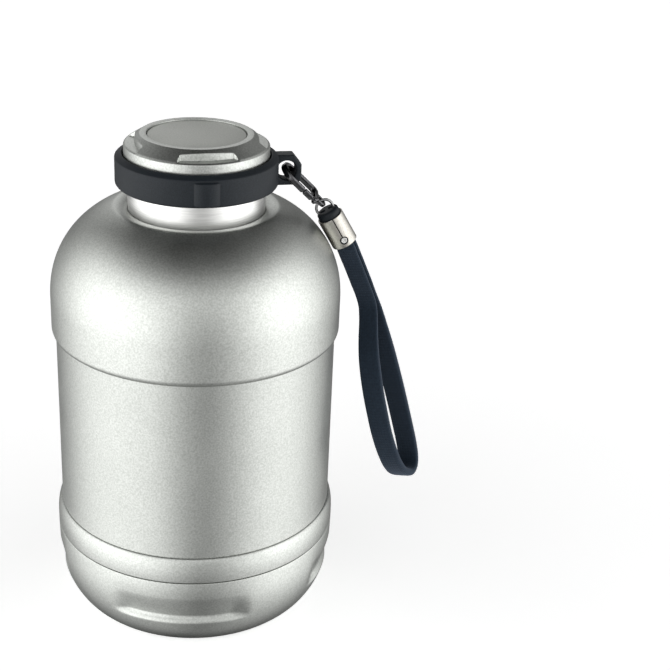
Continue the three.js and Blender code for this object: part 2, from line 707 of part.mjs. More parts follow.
function carryRing() {
    const bore = NECK_RADIUS + RING_CLEARANCE;
    const flangeBore = bore - NECK_GROOVE_DEPTH;
    const body = turned([
        [bore, RING_BOTTOM],
        [RING_RADIUS - 1.2, RING_BOTTOM],
        [RING_RADIUS, RING_BOTTOM + 1.2],
        [RING_RADIUS, RING_TOP - 1],
        [RING_RADIUS - 0.8, RING_TOP],
        [RING_BORE + 0.3, RING_RIM],
        [RING_BORE, RING_RIM - 0.3],
        [RING_BORE, FLANGE_TOP],
        [flangeBore, FLANGE_TOP],
        [flangeBore, FLANGE_BOTTOM],
        [bore, FLANGE_BOTTOM],
        [bore, RING_BOTTOM],
    ]);
    const lug = plate(lugShape(), LUG_THICKNESS, 0.5, 4);
    lug.rotateX(Math.PI / 2);
    lug.translate(0, 0, LUG_MIDDLE);
    const hole = rod(LUG_HOLE_RADIUS, 2 * LUG_THICKNESS, 'y').translate(LUG_HOLE_X, 0, LUG_MIDDLE);
    const frontRib = gripRib();
    const rearRib = gripRib().rotateZ(Math.PI);
    return cut(joined(body, lug, frontRib, rearRib), hole);
}

addPart('carry_ring', carryRing(), blackPlastic);

// ---------------------------------------------------------------- clasp

// In this group +X runs down along the clasp, Y is across its rails, and z = 0 is its middle plane.
const claspGroup = new THREE.Group();
claspGroup.position.set(LUG_HOLE_X, 0, LUG_MIDDLE);
claspGroup.rotation.set(degrees(CLASP_TWIST), degrees(CLASP_DROOP), 0, 'YXZ');
jug.add(claspGroup);

const BOW_RADIUS = CLASP_WIDTH / 2; // outside of the bow
const BOW_CENTRE = CLASP_SEAT + BOW_RADIUS - CLASP_RAIL / 2 - 1.2;
const OPENING_HALF = BOW_RADIUS - CLASP_RAIL;
const OPENING_END = CLASP_LENGTH - 4.2;
const PIN_X = CLASP_LENGTH - 3.4;
const PIN_Y = 0.3 - OPENING_HALF - CLASP_RAIL / 2;
const EYE_OUTER = EYE_RADIUS + EYE_WALL;
const SPRING_START = PIN_Y + KNUCKLE_RADIUS + GAP;
const SPRING_END = SPRING_START + SPRING_LENGTH + SPRING_WIRE;

function claspOutline() {
    const shape = new THREE.Shape();
    shape.absarc(BOW_CENTRE, 0, BOW_RADIUS, Math.PI / 2, (3 * Math.PI) / 2, false);
    shape.lineTo(CLASP_LENGTH - 3.4, -BOW_RADIUS);
    shape.lineTo(CLASP_LENGTH, -EYE_OUTER);
    shape.absarc(CLASP_LENGTH, 0, EYE_OUTER, -Math.PI / 2, Math.PI / 2, false);
    shape.lineTo(CLASP_LENGTH - 3.4, BOW_RADIUS);
    shape.closePath();
    return shape;
}

function claspOpening() {
    const shape = new THREE.Shape();
    shape.absarc(BOW_CENTRE, 0, OPENING_HALF, Math.PI / 2, (3 * Math.PI) / 2, false);
    shape.lineTo(OPENING_END - 2, -OPENING_HALF);
    shape.absarc(OPENING_END - 2, -OPENING_HALF + 2, 2, -Math.PI / 2, 0, false);
    shape.absarc(OPENING_END - 2, OPENING_HALF - 2, 2, 0, Math.PI / 2, false);
    shape.closePath();
    return shape;
}

function claspBody() {
    const beyond = CLASP_THICKNESS; // past the clasp's faces
    const side = BOW_RADIUS + 1; // past its rails
    const outline = plate(claspOutline(), CLASP_THICKNESS, 0.5, 10);
    const opening = plate(claspOpening(), 2 * beyond, 0, 8);
    const gateGap = block(
        [CLASP_NOSE, -side, -beyond],
        [PIN_X - 1.6, 0.3 - OPENING_HALF, beyond],
    );
    const slotHalf = KNUCKLE_THICKNESS / 2 + GAP;
    const knuckleSlot = block(
        [PIN_X - 1.9, -side, -slotHalf],
        [PIN_X + KNUCKLE_RADIUS + GAP, SPRING_END + GAP, slotHalf],
    );
    const pinHole = rod(PIN_RADIUS + GAP / 2, 2 * beyond, 'z', 12).translate(PIN_X, PIN_Y, 0);
    const eye = rod(EYE_RADIUS, 2 * beyond, 'z').translate(CLASP_LENGTH, 0, 0);
    const thinStart = CLASP_LENGTH - EYE_RADIUS;
    const thinEnd = CLASP_LENGTH + EYE_OUTER + 1;
    const front = block([thinStart, -side, EYE_THICKNESS / 2], [thinEnd, side, beyond]);
    const rear = block([thinStart, -side, -beyond], [thinEnd, side, -EYE_THICKNESS / 2]);
    return cut(outline, opening, gateGap, knuckleSlot, pinHole, eye, front, rear);
}

// The gate: a thick bar that closes on the nose, and a thin knuckle round the pin.
function claspGate() {
    const outerEdge = 0.1 - BOW_RADIUS;
    const innerEdge = -OPENING_HALF;
    const barShape = gateShape(CLASP_NOSE + GAP, PIN_X - 2.4, outerEdge, innerEdge);
    const bar = plate(barShape, CLASP_THICKNESS - 0.2, 0.3, 4);
    const knuckle = plate(knuckleShape(outerEdge, innerEdge), KNUCKLE_THICKNESS, 0, 8);
    const bore = rod(PIN_RADIUS + GAP / 2, 2 * CLASP_THICKNESS, 'z', 12);
    bore.translate(PIN_X, PIN_Y, 0);
    return cut(joined(bar, knuckle), bore);
}

function gateShape(start, end, outerEdge, innerEdge) {
    return new THREE.Shape([
        new THREE.Vector2(start, outerEdge + 0.5),
        new THREE.Vector2(start + 0.6, outerEdge),
        new THREE.Vector2(end, outerEdge),
        new THREE.Vector2(end, innerEdge),
        new THREE.Vector2(start, innerEdge),
    ]);
}

function knuckleShape(outerEdge, innerEdge) {
    const shape = new THREE.Shape();
    shape.moveTo(PIN_X - 4, outerEdge + 0.4);
    shape.lineTo(PIN_X - 1, outerEdge + 0.4);
    shape.absarc(PIN_X, PIN_Y, KNUCKLE_RADIUS, (5 * Math.PI) / 4, Math.PI / 2, false);
    shape.lineTo(PIN_X - 4, innerEdge - 0.3);
    shape.closePath();
    return shape;
}

function gatePin() {
    return rod(PIN_RADIUS - GAP / 2, CLASP_THICKNESS + 0.3, 'z', 12).translate(PIN_X, PIN_Y, 0);
}

// The small coil that pushes the gate shut, lying in the knuckle's slot.
class CoilPath extends THREE.Curve {
    getPoint(t, target = new THREE.Vector3()) {
        const angle = 2 * Math.PI * SPRING_TURNS * t;
        const radius = SPRING_COIL_RADIUS;
        return target.set(radius * Math.cos(angle), SPRING_LENGTH * t, radius * Math.sin(angle));
    }
}

function gateSpring() {
    const section = new THREE.Shape();
    section.absarc(0, 0, SPRING_WIRE / 2, 0, 2 * Math.PI, false);
    const geometry = new THREE.ExtrudeGeometry(section, {
        steps: 10 * SPRING_TURNS,
        extrudePath: new CoilPath(),
        curveSegments: 3,
    });
    return tidied(geometry).translate(PIN_X, SPRING_START + SPRING_WIRE / 2, 0);
}

addPart('clasp_body', claspBody(), gunmetal, claspGroup);
addPart('clasp_gate', claspGate(), gunmetal, claspGroup);
addPart('gate_pin', gatePin(), springSteel, claspGroup);
addPart('gate_spring', gateSpring(), springSteel, claspGroup);

// ---------------------------------------------------------------- jump ring

// In this group the origin is where the ring's wire passes through the clasp's eye.
const linkGroup = new THREE.Group();
claspGroup.updateMatrixWorld(true);
linkGroup.position.copy(claspGroup.localToWorld(new THREE.Vector3(CLASP_LENGTH + LINK_PLAY, 0, 0)));
linkGroup.rotation.y = degrees(LINK_DROOP);
jug.add(linkGroup);

const jumpRing = new THREE.TorusGeometry(LINK_RADIUS, LINK_WIRE, 8, 24);
jumpRing.rotateX(Math.PI / 2);
jumpRing.translate(LINK_RADIUS, 0, 0);
addPart('jump_ring', tidied(jumpRing), springSteel, linkGroup);

// ---------------------------------------------------------------- ferrule

// In this group the origin is where the ring's wire passes through the cap, and +X runs down.
const ferruleGroup = new THREE.Group();
ferruleGroup.position.set(2 * LINK_RADIUS, 0, 0);
ferruleGroup.rotation.y = degrees(FERRULE_DROOP - LINK_DROOP);
linkGroup.add(ferruleGroup);

const CAP_HOLE_RADIUS = 1.8;
const CAP_RADIUS = FERRULE_RADIUS - FERRULE_WALL - GAP;
const CAP_TOP = -2.6;
const FERRULE_START = CAP_TOP + CAP_SHOWING;
const FERRULE_END = FERRULE_START + FERRULE_LENGTH;
const SCREW_X = FERRULE_END - SCREW_FROM_END;

// Turns an outline of [radius, distance] pairs about the group's +X.
function turnedAlongX(outline, segments) {
    return turned(outline, segments).rotateY(Math.PI / 2);
}

function cordEndCap() {
    const end = FERRULE_START + CAP_INSERT;
    const body = turnedAlongX(
        [
            [0, CAP_TOP],
            [CAP_RADIUS - 1.4, CAP_TOP],
            [CAP_RADIUS - 0.3, CAP_TOP + 0.7],
            [CAP_RADIUS, CAP_TOP + 1.8],
            [CAP_RADIUS, end],
            [0, end],
        ],
        20,
    );
    const slotFloor = 1.6;
    const side = CAP_RADIUS + 1;
    const slotStart = CAP_TOP - 1;
    const slotHalf = CAP_SLOT / 2;
    const nearSlot = block([slotStart, -slotHalf, CAP_WEB / 2], [slotFloor, slotHalf, side]);
    const farSlot = block([slotStart, -slotHalf, -side], [slotFloor, slotHalf, -CAP_WEB / 2]);
    const hole = rod(CAP_HOLE_RADIUS, 2 * CAP_WEB, 'z', 12).translate(LINK_PLAY, 0, 0);
    return cut(body, nearSlot, farSlot, hole);
}

// The ferrule is split along its front, from its upper end to the screw.
function ferrule() {
    const tube = turnedAlongX(
        [
            [FERRULE_BORE, FERRULE_START],
            [FERRULE_RADIUS - 0.3, FERRULE_START],
            [FERRULE_RADIUS, FERRULE_START + 0.4],
            [FERRULE_RADIUS, FERRULE_END - 0.4],
            [FERRULE_RADIUS - 0.3, FERRULE_END],
            [FERRULE_BORE, FERRULE_END],
            [FERRULE_BORE, FERRULE_START],
        ],
        28,
    );
    const screwHole = rod(SCREW_RECESS, 2, 'y').translate(SCREW_X, -FERRULE_RADIUS, 0);
    const slit = block(
        [FERRULE_START - 1, -FERRULE_RADIUS - 1, -FERRULE_SLIT / 2],
        [SCREW_X, 0, FERRULE_SLIT / 2],
    );
    return cut(tube, screwHole, slit);
}

function ferruleScrew() {
    const head = rod(SCREW_RADIUS, SCREW_LENGTH, 'y');
    const slotFloor = 0.4 - SCREW_LENGTH / 2;
    const slotA = block([-1, -SCREW_LENGTH, -0.2], [1, slotFloor, 0.2]);
    const slotB = block([-0.2, -SCREW_LENGTH, -1], [0.2, slotFloor, 1]);
    const depth = SCREW_LENGTH / 2 + 0.1 - FERRULE_RADIUS;
    return cut(head, slotA, slotB).translate(SCREW_X, depth, 0);
}

addPart('cord_end_cap', cordEndCap(), blackPlastic, ferruleGroup);
addPart('ferrule', ferrule(), brushedNickel, ferruleGroup);
addPart('ferrule_screw', ferruleScrew(), brightSteel, ferruleGroup);

// ---------------------------------------------------------------- wrist strap

// A path for flat webbing, which keeps the webbing's width square to the loop it lies in.
class WebbingPath extends THREE.CatmullRomCurve3 {
    computeFrenetFrames(segments) {
        const face = new THREE.Vector3(...STRAP_FACE).normalize();
        const hang = new THREE.Vector3(0.25, 0, -1).normalize();
        const across = hang.cross(face).normalize();
        const tangents = [];
        const normals = [];
        const binormals = [];
        for (let i = 0; i <= segments; i += 1) {
            const tangent = this.getTangentAt(i / segments);
            const normal = across.clone().projectOnPlane(tangent).normalize();
            tangents.push(tangent);
            normals.push(normal);
            binormals.push(tangent.clone().cross(normal));
        }
        return { tangents, normals, binormals };
    }
}

function wristStrap() {
    const edge = STRAP_THICKNESS / 2;
    const half = STRAP_WIDTH / 2;
    const section = new THREE.Shape([
        new THREE.Vector2(-half, -edge / 2),
        new THREE.Vector2(-half + edge / 2, -edge),
        new THREE.Vector2(half - edge / 2, -edge),
        new THREE.Vector2(half, -edge / 2),
        new THREE.Vector2(half, edge / 2),
        new THREE.Vector2(half - edge / 2, edge),
        new THREE.Vector2(-half + edge / 2, edge),
        new THREE.Vector2(-half, edge / 2),
    ]);
    const path = new WebbingPath(STRAP_POINTS.map((point) => new THREE.Vector3(...point)));
    const webbing = new THREE.ExtrudeGeometry(section, { steps: 48, extrudePath: path });
    const screwHole = rod(SCREW_RADIUS + GAP, 3 * SCREW_LENGTH, 'y');
    screwHole.translate(SCREW_X, -FERRULE_RADIUS, 0);
    screwHole.applyMatrix4(ferruleGroup.matrixWorld);
    screwHole.translate(-strapStart.x, -strapStart.y, -strapStart.z);
    return cut(webbing, screwHole);
}

jug.updateMatrixWorld(true);
const strapStart = ferruleGroup.localToWorld(new THREE.Vector3(FERRULE_END, 0, 0));
const strap = addPart('wrist_strap', wristStrap(), navyWebbing);
strap.position.copy(strapStart);

export default jug;
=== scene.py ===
"""Looks of a large water jug: silver paint, a black carry ring and a webbing wrist strap.

Outlines are in millimetres and meshes in metres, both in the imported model's frame:
+Z up along the jug's axis, +X towards the carry ring's lug.
"""

import json
import math

import bmesh
import bpy
from mathutils import Matrix, Vector


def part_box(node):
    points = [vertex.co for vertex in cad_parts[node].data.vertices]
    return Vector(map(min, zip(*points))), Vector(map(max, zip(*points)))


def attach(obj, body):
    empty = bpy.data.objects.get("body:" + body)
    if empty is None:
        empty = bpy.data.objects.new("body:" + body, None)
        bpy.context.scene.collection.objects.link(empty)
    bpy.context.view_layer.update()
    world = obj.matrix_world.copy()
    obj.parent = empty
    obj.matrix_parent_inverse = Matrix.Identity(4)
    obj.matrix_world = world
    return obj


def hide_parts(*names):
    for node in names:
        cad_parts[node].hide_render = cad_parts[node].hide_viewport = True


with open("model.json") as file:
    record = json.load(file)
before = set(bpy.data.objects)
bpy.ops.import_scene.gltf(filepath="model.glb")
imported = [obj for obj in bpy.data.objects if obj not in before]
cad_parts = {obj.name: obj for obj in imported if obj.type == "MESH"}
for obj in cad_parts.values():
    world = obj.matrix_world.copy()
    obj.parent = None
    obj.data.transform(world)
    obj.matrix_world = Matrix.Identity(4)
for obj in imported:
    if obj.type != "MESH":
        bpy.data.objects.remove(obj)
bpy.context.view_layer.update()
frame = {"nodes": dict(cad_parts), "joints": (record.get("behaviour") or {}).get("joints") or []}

MM = 0.001
SHARP_ANGLE = 38  # degrees: edges that turn further are shaded sharp
JOINTS = {joint["name"]: joint for joint in frame["joints"]}


def low(node):
    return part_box(node)[0] / MM


def high(node):
    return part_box(node)[1] / MM


def joint_point(name):
    return Vector(JOINTS[name]["pos_m"]) / MM


# ---------------------------------------------------------------- sizes, in millimetres

GAP = 0.3
BODY_RADIUS = high("outer_shell").x
SEAM = high("base_cup").z
BODY_HEIGHT = 203.5
BAND_TOP = SEAM + 12.5
BAND_ARC_HEIGHT = 8
PANEL_RADIUS = BODY_RADIUS - 2.2
LIP_BOTTOM = BODY_HEIGHT - 62
LIP_SET_BACK = 0.3
DOME_HEIGHT = 45
DOME_START = BODY_HEIGHT - DOME_HEIGHT
DOME_CENTRE_RADIUS = 20
DOME_FULLNESS = 2.1
FOOT_REACH = 6  # the shoulder dips to the neck over this width
FOOT_PULL = 3
FOOT_LIFT = 0.15
FOOT_DROP = 1.3
SHELL_WALL = 0.8
CUP_WALL = 0.9
SPIGOT_RADIUS = BODY_RADIUS - CUP_WALL - GAP
SPIGOT_BOTTOM = low("outer_shell").z
CUP_BOTTOM = low("base_cup").z
BASE_CORNER_WIDTH = 19
BASE_CORNER_HEIGHT = 33
FOOT_RADIUS = BODY_RADIUS - BASE_CORNER_WIDTH
PAD_RADIUS = high("base_pad").x
PAD_TOP = high("base_pad").z
FLOOR_TOP = PAD_TOP + GAP + CUP_WALL

GRIP_COUNT = 4
GRIP_OFFSET_ANGLE = -13.5
GRIP_HALF_ANGLE = 28
GRIP_DEPTH = 2.4
GRIP_TOP = 35.5
GRIP_BOTTOM = 18
GRIP_STEP = 3.5  # height of the lower lip
GRIP_EDGE_INSIDE = 7  # degrees over which each side fades
GRIP_EDGE_OUTSIDE = 2

FLASK_RADIUS = high("inner_flask").x
FLASK_BOTTOM = low("inner_flask").z
FLASK_TOP = high("inner_flask").z
FLASK_WALL = 0.7
MOUTH_RADIUS = 27.7
NECK_RADIUS = high("neck_collar").x
NECK_TOP = high("neck_collar").z
NECK_FOOT = low("neck_collar").z
COLLAR_BORE = NECK_RADIUS - 2
NECK_GROOVE_DEPTH = 1.1

THREAD_STARTS = 3
THREAD_LEAD = 12
THREAD_DEPTH = 1.2
THREAD_SWEEP = 200
THREAD_PLAY = 0.5
THREAD_RISE = THREAD_LEAD * THREAD_SWEEP / 360
MOUTH_THREAD_START = NECK_TOP - 2 - THREAD_RISE
PLUG_THREAD_START = MOUTH_THREAD_START - THREAD_LEAD / THREAD_STARTS / 2

LID_RADIUS = high("lid_shell").x
LID_TOP = high("lid_shell").z
SKIRT_BOTTOM = low("lid_shell").z
LEDGE_HEIGHT = LID_TOP - 4
LID_RIM_RADIUS = LID_RADIUS - 7.2
LID_WALL = 1
DISC_RADIUS = high("lid_top_disc").x
DISC_TOP = high("lid_top_disc").z
DISC_BOTTOM = low("lid_top_disc").z
NOTCH_COUNT = 4
NOTCH_OFFSET_ANGLE = 2.6
NOTCH_DISTANCE = LID_RADIUS - 5.2
NOTCH_INNER_WIDTH = 25
NOTCH_WIDENING = 1.3
NOTCH_SOFTNESS = 0.2
NOTCH_BOW = 0.011
PLUG_RADIUS = MOUTH_RADIUS - THREAD_DEPTH - THREAD_PLAY
PLUG_WALL = 2
PLUG_BOTTOM = low("lid_plug").z
PLUG_TOP = high("lid_plug").z
GASKET_BOTTOM = low("lid_gasket").z
GASKET_TOP = high("lid_gasket").z

RING_RADIUS = -low("carry_ring").x
RING_RIM = high("carry_ring").z
RING_TOP = RING_RIM - 1.6
RING_BOTTOM = RING_TOP - 12.6
RING_BORE = LID_RADIUS + 0.4 + GAP
FLANGE_BOTTOM = RING_BOTTOM + 2
FLANGE_TOP = FLANGE_BOTTOM + 3.4
RIB_WIDTH = 12.5
RIB_REACH = high("carry_ring").y
RIB_HEIGHT = 10.6
RIB_FOOT = RING_BOTTOM + 0.9
LUG_REACH = high("carry_ring").x
LUG_THICKNESS = 7.6
LUG_HEIGHT = 14
LUG_HOLE = joint_point("clasp_swing")
LUG_HOLE_RADIUS = 4.45

EYE = joint_point("link_swing")
CAP_HOLE = joint_point("strap_swing")
LINK_PLAY = 0.2
CLASP_LENGTH = (EYE - LUG_HOLE).length - LINK_PLAY
CLASP_TWIST = 12
CLASP_PLAY = 0.7
CLASP_THICKNESS = 3
CLASP_RAIL = 2.1
CLASP_SEAT = 0.5
CLASP_NOSE = 11.8
BOW_RADIUS = LUG_THICKNESS / 2 + CLASP_RAIL + CLASP_PLAY
OPENING_HALF = BOW_RADIUS - CLASP_RAIL
BOW_CENTRE = CLASP_SEAT + BOW_RADIUS - CLASP_RAIL / 2 - 1.2
OPENING_END = CLASP_LENGTH - 4.2
EYE_RADIUS = 1.9
EYE_OUTER = 3.2
PIN_X = CLASP_LENGTH - 3.4
PIN_Y = 0.3 - OPENING_HALF - CLASP_RAIL / 2
KNUCKLE_THICKNESS = 1.2
LINK_RADIUS = 3.9
LINK_WIRE = 0.65

FERRULE_DROOP = 60
CAP_TOP = -2.6
FERRULE_START = CAP_TOP + 3.4
FERRULE_END = FERRULE_START + 15.4
FERRULE_RADIUS = high("ferrule").y
FERRULE_BORE = FERRULE_RADIUS - 0.5
FERRULE_SLIT = 0.5
CAP_RADIUS = high("cord_end_cap").y
CAP_SLOT = 2.2
CAP_WEB = 1.8
SCREW_X = FERRULE_END - 3.4
SCREW_RADIUS = 1.4
SCREW_RECESS = 2

STRAP_WIDTH = 9.4
STRAP_THICKNESS = 2.2

# Centreline of the strap in metres, from the ferrule's mouth: outward, sideways and up.
# These repeat the CAD model's points, which a solver worked out. They weren't chosen by hand.
STRAP_ROUTE = [
    (-0.0044, -0.0011, 0.0060),
    (-0.0004, -0.0011, -0.0009),
    (0.0028, 0.0012, -0.0079),
    (0.0060, 0.0032, -0.0149),
    (0.0098, 0.0055, -0.0237),
    (0.0129, 0.0073, -0.0308),
    (0.0148, 0.0078, -0.0369),
    (0.0151, 0.0059, -0.0435),
    (0.0147, 0.0026, -0.0516),
    (0.0148, -0.0003, -0.0600),
    (0.0159, -0.0021, -0.0695),
    (0.0176, -0.0031, -0.0795),
    (0.0199, -0.0036, -0.0899),
    (0.0230, -0.0035, -0.1020),
    (0.0270, -0.0020, -0.1135),
    (0.0310, 0.0006, -0.1222),
    (0.0356, 0.0047, -0.1289),
    (0.0403, 0.0102, -0.1322),
    (0.0429, 0.0143, -0.1309),
    (0.0434, 0.0165, -0.1267),
    (0.0419, 0.0173, -0.1182),
    (0.0394, 0.0172, -0.1085),
    (0.0358, 0.0168, -0.0953),
    (0.0322, 0.0161, -0.0827),
    (0.0284, 0.0152, -0.0703),
    (0.0248, 0.0143, -0.0586),
    (0.0214, 0.0131, -0.0481),
    (0.0184, 0.0120, -0.0394),
    (0.0142, 0.0095, -0.0297),
    (0.0112, 0.0077, -0.0225),
    (0.0073, 0.0055, -0.0137),
    (0.0041, 0.0034, -0.0066),
    (0.0010, 0.0011, -0.0001),
    (-0.0030, 0.0011, 0.0068),
]
STRAP_FACE = Vector((0.552, 0.822, 0.138))  # from the front leg towards the rear leg
STRAP_HANG = Vector((0.25, 0, -1))
# The webbing fills out where its two legs part: from and to these distances from the ends.
STRAP_SWELL_START = 48
STRAP_SWELL_END = 85
STRAP_SWELL_WIDTH = 0.14
STRAP_SWELL_THICKNESS = 0.75
STRAP_STEPS = 220


# ---------------------------------------------------------------- camera

CAMERA_PLACE = Vector((-0.0725, -0.5991, 0.4120))
CAMERA_LENS = 75.4
CAMERA_YAW = 13.09  # degrees from +Y towards +X
CAMERA_PITCH = 24.46  # degrees down
CAMERA_ROLL = 2.69


def make_camera():
    data = bpy.data.cameras.new("camera")
    data.lens = CAMERA_LENS
    camera = bpy.data.objects.new("camera", data)
    bpy.context.scene.collection.objects.link(camera)
    yaw = Matrix.Rotation(-math.radians(CAMERA_YAW), 4, "Z")
    tilt = Matrix.Rotation(math.radians(90 - CAMERA_PITCH), 4, "X")
    roll = Matrix.Rotation(math.radians(CAMERA_ROLL), 4, "Z")
    camera.matrix_world = Matrix.Translation(CAMERA_PLACE) @ yaw @ tilt @ roll
    bpy.context.scene.camera = camera


# ---------------------------------------------------------------- materials


def new_material(name):
    material = bpy.data.materials.new(name)
    material.use_nodes = True
    return material, material.node_tree.nodes, material.node_tree.links


def noise(nodes, links, vector, scale, detail=3.0, roughness=0.5):
    node = nodes.new("ShaderNodeTexNoise")
    node.inputs["Scale"].default_value = scale
    node.inputs["Detail"].default_value = detail
    node.inputs["Roughness"].default_value = roughness
    links.new(vector, node.inputs["Vector"])
    return node.outputs["Fac"]


def ramp(nodes, links, value, first, last, start=0.35, end=0.65):
    node = nodes.new("ShaderNodeValToRGB")
    node.color_ramp.elements[0].position = start
    node.color_ramp.elements[0].color = (*first, 1)
    node.color_ramp.elements[1].position = end
    node.color_ramp.elements[1].color = (*last, 1)
    links.new(value, node.inputs["Fac"])
    return node.outputs["Color"]


def spread(nodes, links, value, low_end, high_end):
    node = nodes.new("ShaderNodeMapRange")
    node.inputs["From Min"].default_value = 0.3
    node.inputs["From Max"].default_value = 0.7
    node.inputs["To Min"].default_value = low_end
    node.inputs["To Max"].default_value = high_end
    links.new(value, node.inputs["Value"])
    return node.outputs["Result"]


def bump(nodes, links, height, strength, distance):
    node = nodes.new("ShaderNodeBump")
    node.inputs["Strength"].default_value = strength
    node.inputs["Distance"].default_value = distance
    links.new(height, node.inputs["Height"])
    return node.outputs["Normal"]


def surface(
    name, dark, light, roughness, metallic, grain, relief, stretch=(1, 1, 1), wear=40, coat=0.0
):
    """A material with a fine grain, a slow change of roughness over it, and a little relief."""
    material, nodes, links = new_material(name)
    shader = nodes["Principled BSDF"]
    shader.inputs["Metallic"].default_value = metallic
    shader.inputs["Coat Weight"].default_value = coat
    shader.inputs["Coat Roughness"].default_value = 0.25
    place = nodes.new("ShaderNodeTexCoord").outputs["Object"]
    mapping = nodes.new("ShaderNodeMapping")
    mapping.inputs["Scale"].default_value = stretch
    links.new(place, mapping.inputs["Vector"])
    fine = noise(nodes, links, mapping.outputs["Vector"], grain)
    slow = noise(nodes, links, place, wear, 4.0)
    links.new(ramp(nodes, links, fine, dark, light), shader.inputs["Base Color"])
    links.new(spread(nodes, links, slow, *roughness), shader.inputs["Roughness"])
    links.new(bump(nodes, links, fine, relief, 0.0001), shader.inputs["Normal"])
    return material


def webbing_material():
    """Soft woven tape. Its UVs are metres across and along the tape."""
    material, nodes, links = new_material("navy_webbing_looks")
    shader = nodes["Principled BSDF"]
    shader.inputs["Sheen Weight"].default_value = 0.35
    shader.inputs["Sheen Roughness"].default_value = 0.5
    shader.inputs["Sheen Tint"].default_value = (0.35, 0.42, 0.55, 1)
    shader.inputs["Specular IOR Level"].default_value = 0.2
    place = nodes.new("ShaderNodeTexCoord")
    warp = nodes.new("ShaderNodeTexWave")
    warp.bands_direction = "X"
    warp.inputs["Scale"].default_value = 260
    warp.inputs["Distortion"].default_value = 0.6
    links.new(place.outputs["UV"], warp.inputs["Vector"])
    weft = nodes.new("ShaderNodeTexWave")
    weft.bands_direction = "Y"
    weft.inputs["Scale"].default_value = 190
    weft.inputs["Distortion"].default_value = 0.8
    links.new(place.outputs["UV"], weft.inputs["Vector"])
    weave = nodes.new("ShaderNodeMath")
    weave.operation = "MULTIPLY"
    links.new(warp.outputs["Fac"], weave.inputs[0])
    links.new(weft.outputs["Fac"], weave.inputs[1])
    fuzz = noise(nodes, links, place.outputs["Object"], 900, 4.0, 0.7)
    colour = ramp(nodes, links, fuzz, (0.005, 0.010, 0.018), (0.017, 0.029, 0.045), 0.25, 0.8)
    links.new(colour, shader.inputs["Base Color"])
    links.new(spread(nodes, links, fuzz, 0.82, 0.98), shader.inputs["Roughness"])
    links.new(bump(nodes, links, weave.outputs["Value"], 0.5, 0.0002), shader.inputs["Normal"])
    return material


SILVER_PAINT = surface(
    "silver_paint_looks", (0.44, 0.455, 0.43), (0.57, 0.585, 0.56), (0.36, 0.42), 1.0, 1300, 0.25
)
GREY_SATIN = surface(
    "grey_satin_looks", (0.38, 0.39, 0.365), (0.46, 0.47, 0.44), (0.40, 0.48), 0.8, 1500, 0.2
)
NECK_STEEL = surface(
    "neck_steel_looks", (0.66, 0.66, 0.645), (0.80, 0.80, 0.785), (0.34, 0.42), 1.0, 900, 0.15,
    stretch=(0.12, 0.12, 2.5),
)
LINER_STEEL = surface(
    "liner_steel_looks", (0.58, 0.58, 0.57), (0.70, 0.70, 0.69), (0.30, 0.42), 1.0, 700, 0.15,
    stretch=(0.15, 0.15, 2),
)
BLACK_PLASTIC = surface(
    "black_plastic_looks", (0.006, 0.009, 0.012), (0.011, 0.015, 0.020), (0.46, 0.56), 0.0, 1800, 0.3
)
BLACK_PLASTIC.node_tree.nodes["Principled BSDF"].inputs["Specular IOR Level"].default_value = 0.25
FOAM = surface("foam_looks", (0.72, 0.72, 0.69), (0.84, 0.84, 0.81), (0.85, 0.95), 0.0, 600, 0.7)
SILICONE = surface(
    "silicone_looks", (0.66, 0.66, 0.64), (0.74, 0.74, 0.72), (0.45, 0.6), 0.0, 800, 0.1
)
RUBBER = surface(
    "black_rubber_looks", (0.012, 0.012, 0.013), (0.026, 0.026, 0.028), (0.7, 0.85), 0.0, 1100, 0.5
)
GUNMETAL = surface(
    "gunmetal_looks", (0.07, 0.07, 0.074), (0.12, 0.12, 0.124), (0.12, 0.2), 1.0, 1200, 0.1
)
SPRING_STEEL = surface(
    "spring_steel_looks", (0.26, 0.26, 0.265), (0.36, 0.36, 0.36), (0.16, 0.26), 1.0, 1400, 0.1
)
NICKEL = surface(
    "brushed_nickel_looks", (0.40, 0.385, 0.35), (0.58, 0.56, 0.52), (0.26, 0.36), 1.0, 1500, 0.25,
    stretch=(3, 3, 0.4),
)
WEBBING = webbing_material()


# ---------------------------------------------------------------- mesh helpers


def arc(centre, width, height, start, end, count, fullness=2.0):
    """Points on an ellipse, from one angle to another; a fullness above 2 squares it."""
    points = []
    for i in range(count + 1):
        angle = math.radians(start + (end - start) * i / count)
        across = math.copysign(abs(math.cos(angle)) ** (2 / fullness), math.cos(angle))
        up = math.copysign(abs(math.sin(angle)) ** (2 / fullness), math.sin(angle))
        points.append((centre[0] + width * across, centre[1] + height * up))
    return points


def rounded(points, closed=True, steps=4):
    """An outline whose corners are rounded where a point has a third number, its radius."""
    out = []
    for i, point in enumerate(points):
        radius = point[2] if len(point) > 2 else 0
        if radius == 0 or (not closed and i in (0, len(points) - 1)):
            out.append(tuple(point[:2]))
            continue
        corner = Vector(point[:2])
        back = (Vector(points[i - 1][:2]) - corner).normalized()
        ahead = (Vector(points[(i + 1) % len(points)][:2]) - corner).normalized()
        half = back.angle(ahead) / 2
        reach = radius / math.tan(half)
        centre = corner + (back + ahead).normalized() * radius / math.sin(half)
        first = (corner + back * reach - centre).normalized()
        last = (corner + ahead * reach - centre).normalized()
        for k in range(steps + 1):
            spoke = first.slerp(last, k / steps) if first.angle(last) > 1e-4 else first
            out.append(tuple(centre + spoke * radius))
    return out


def curve_between(start, control, end, count):
    """A short curve from start to end, pulled towards control."""
    points = []
    for i in range(count + 1):
        t = i / count
        weights = ((1 - t) ** 2, 2 * t * (1 - t), t**2)
        points.append(tuple(sum(w * p[k] for w, p in zip(weights, (start, control, end))) for k in (0, 1)))
    return points


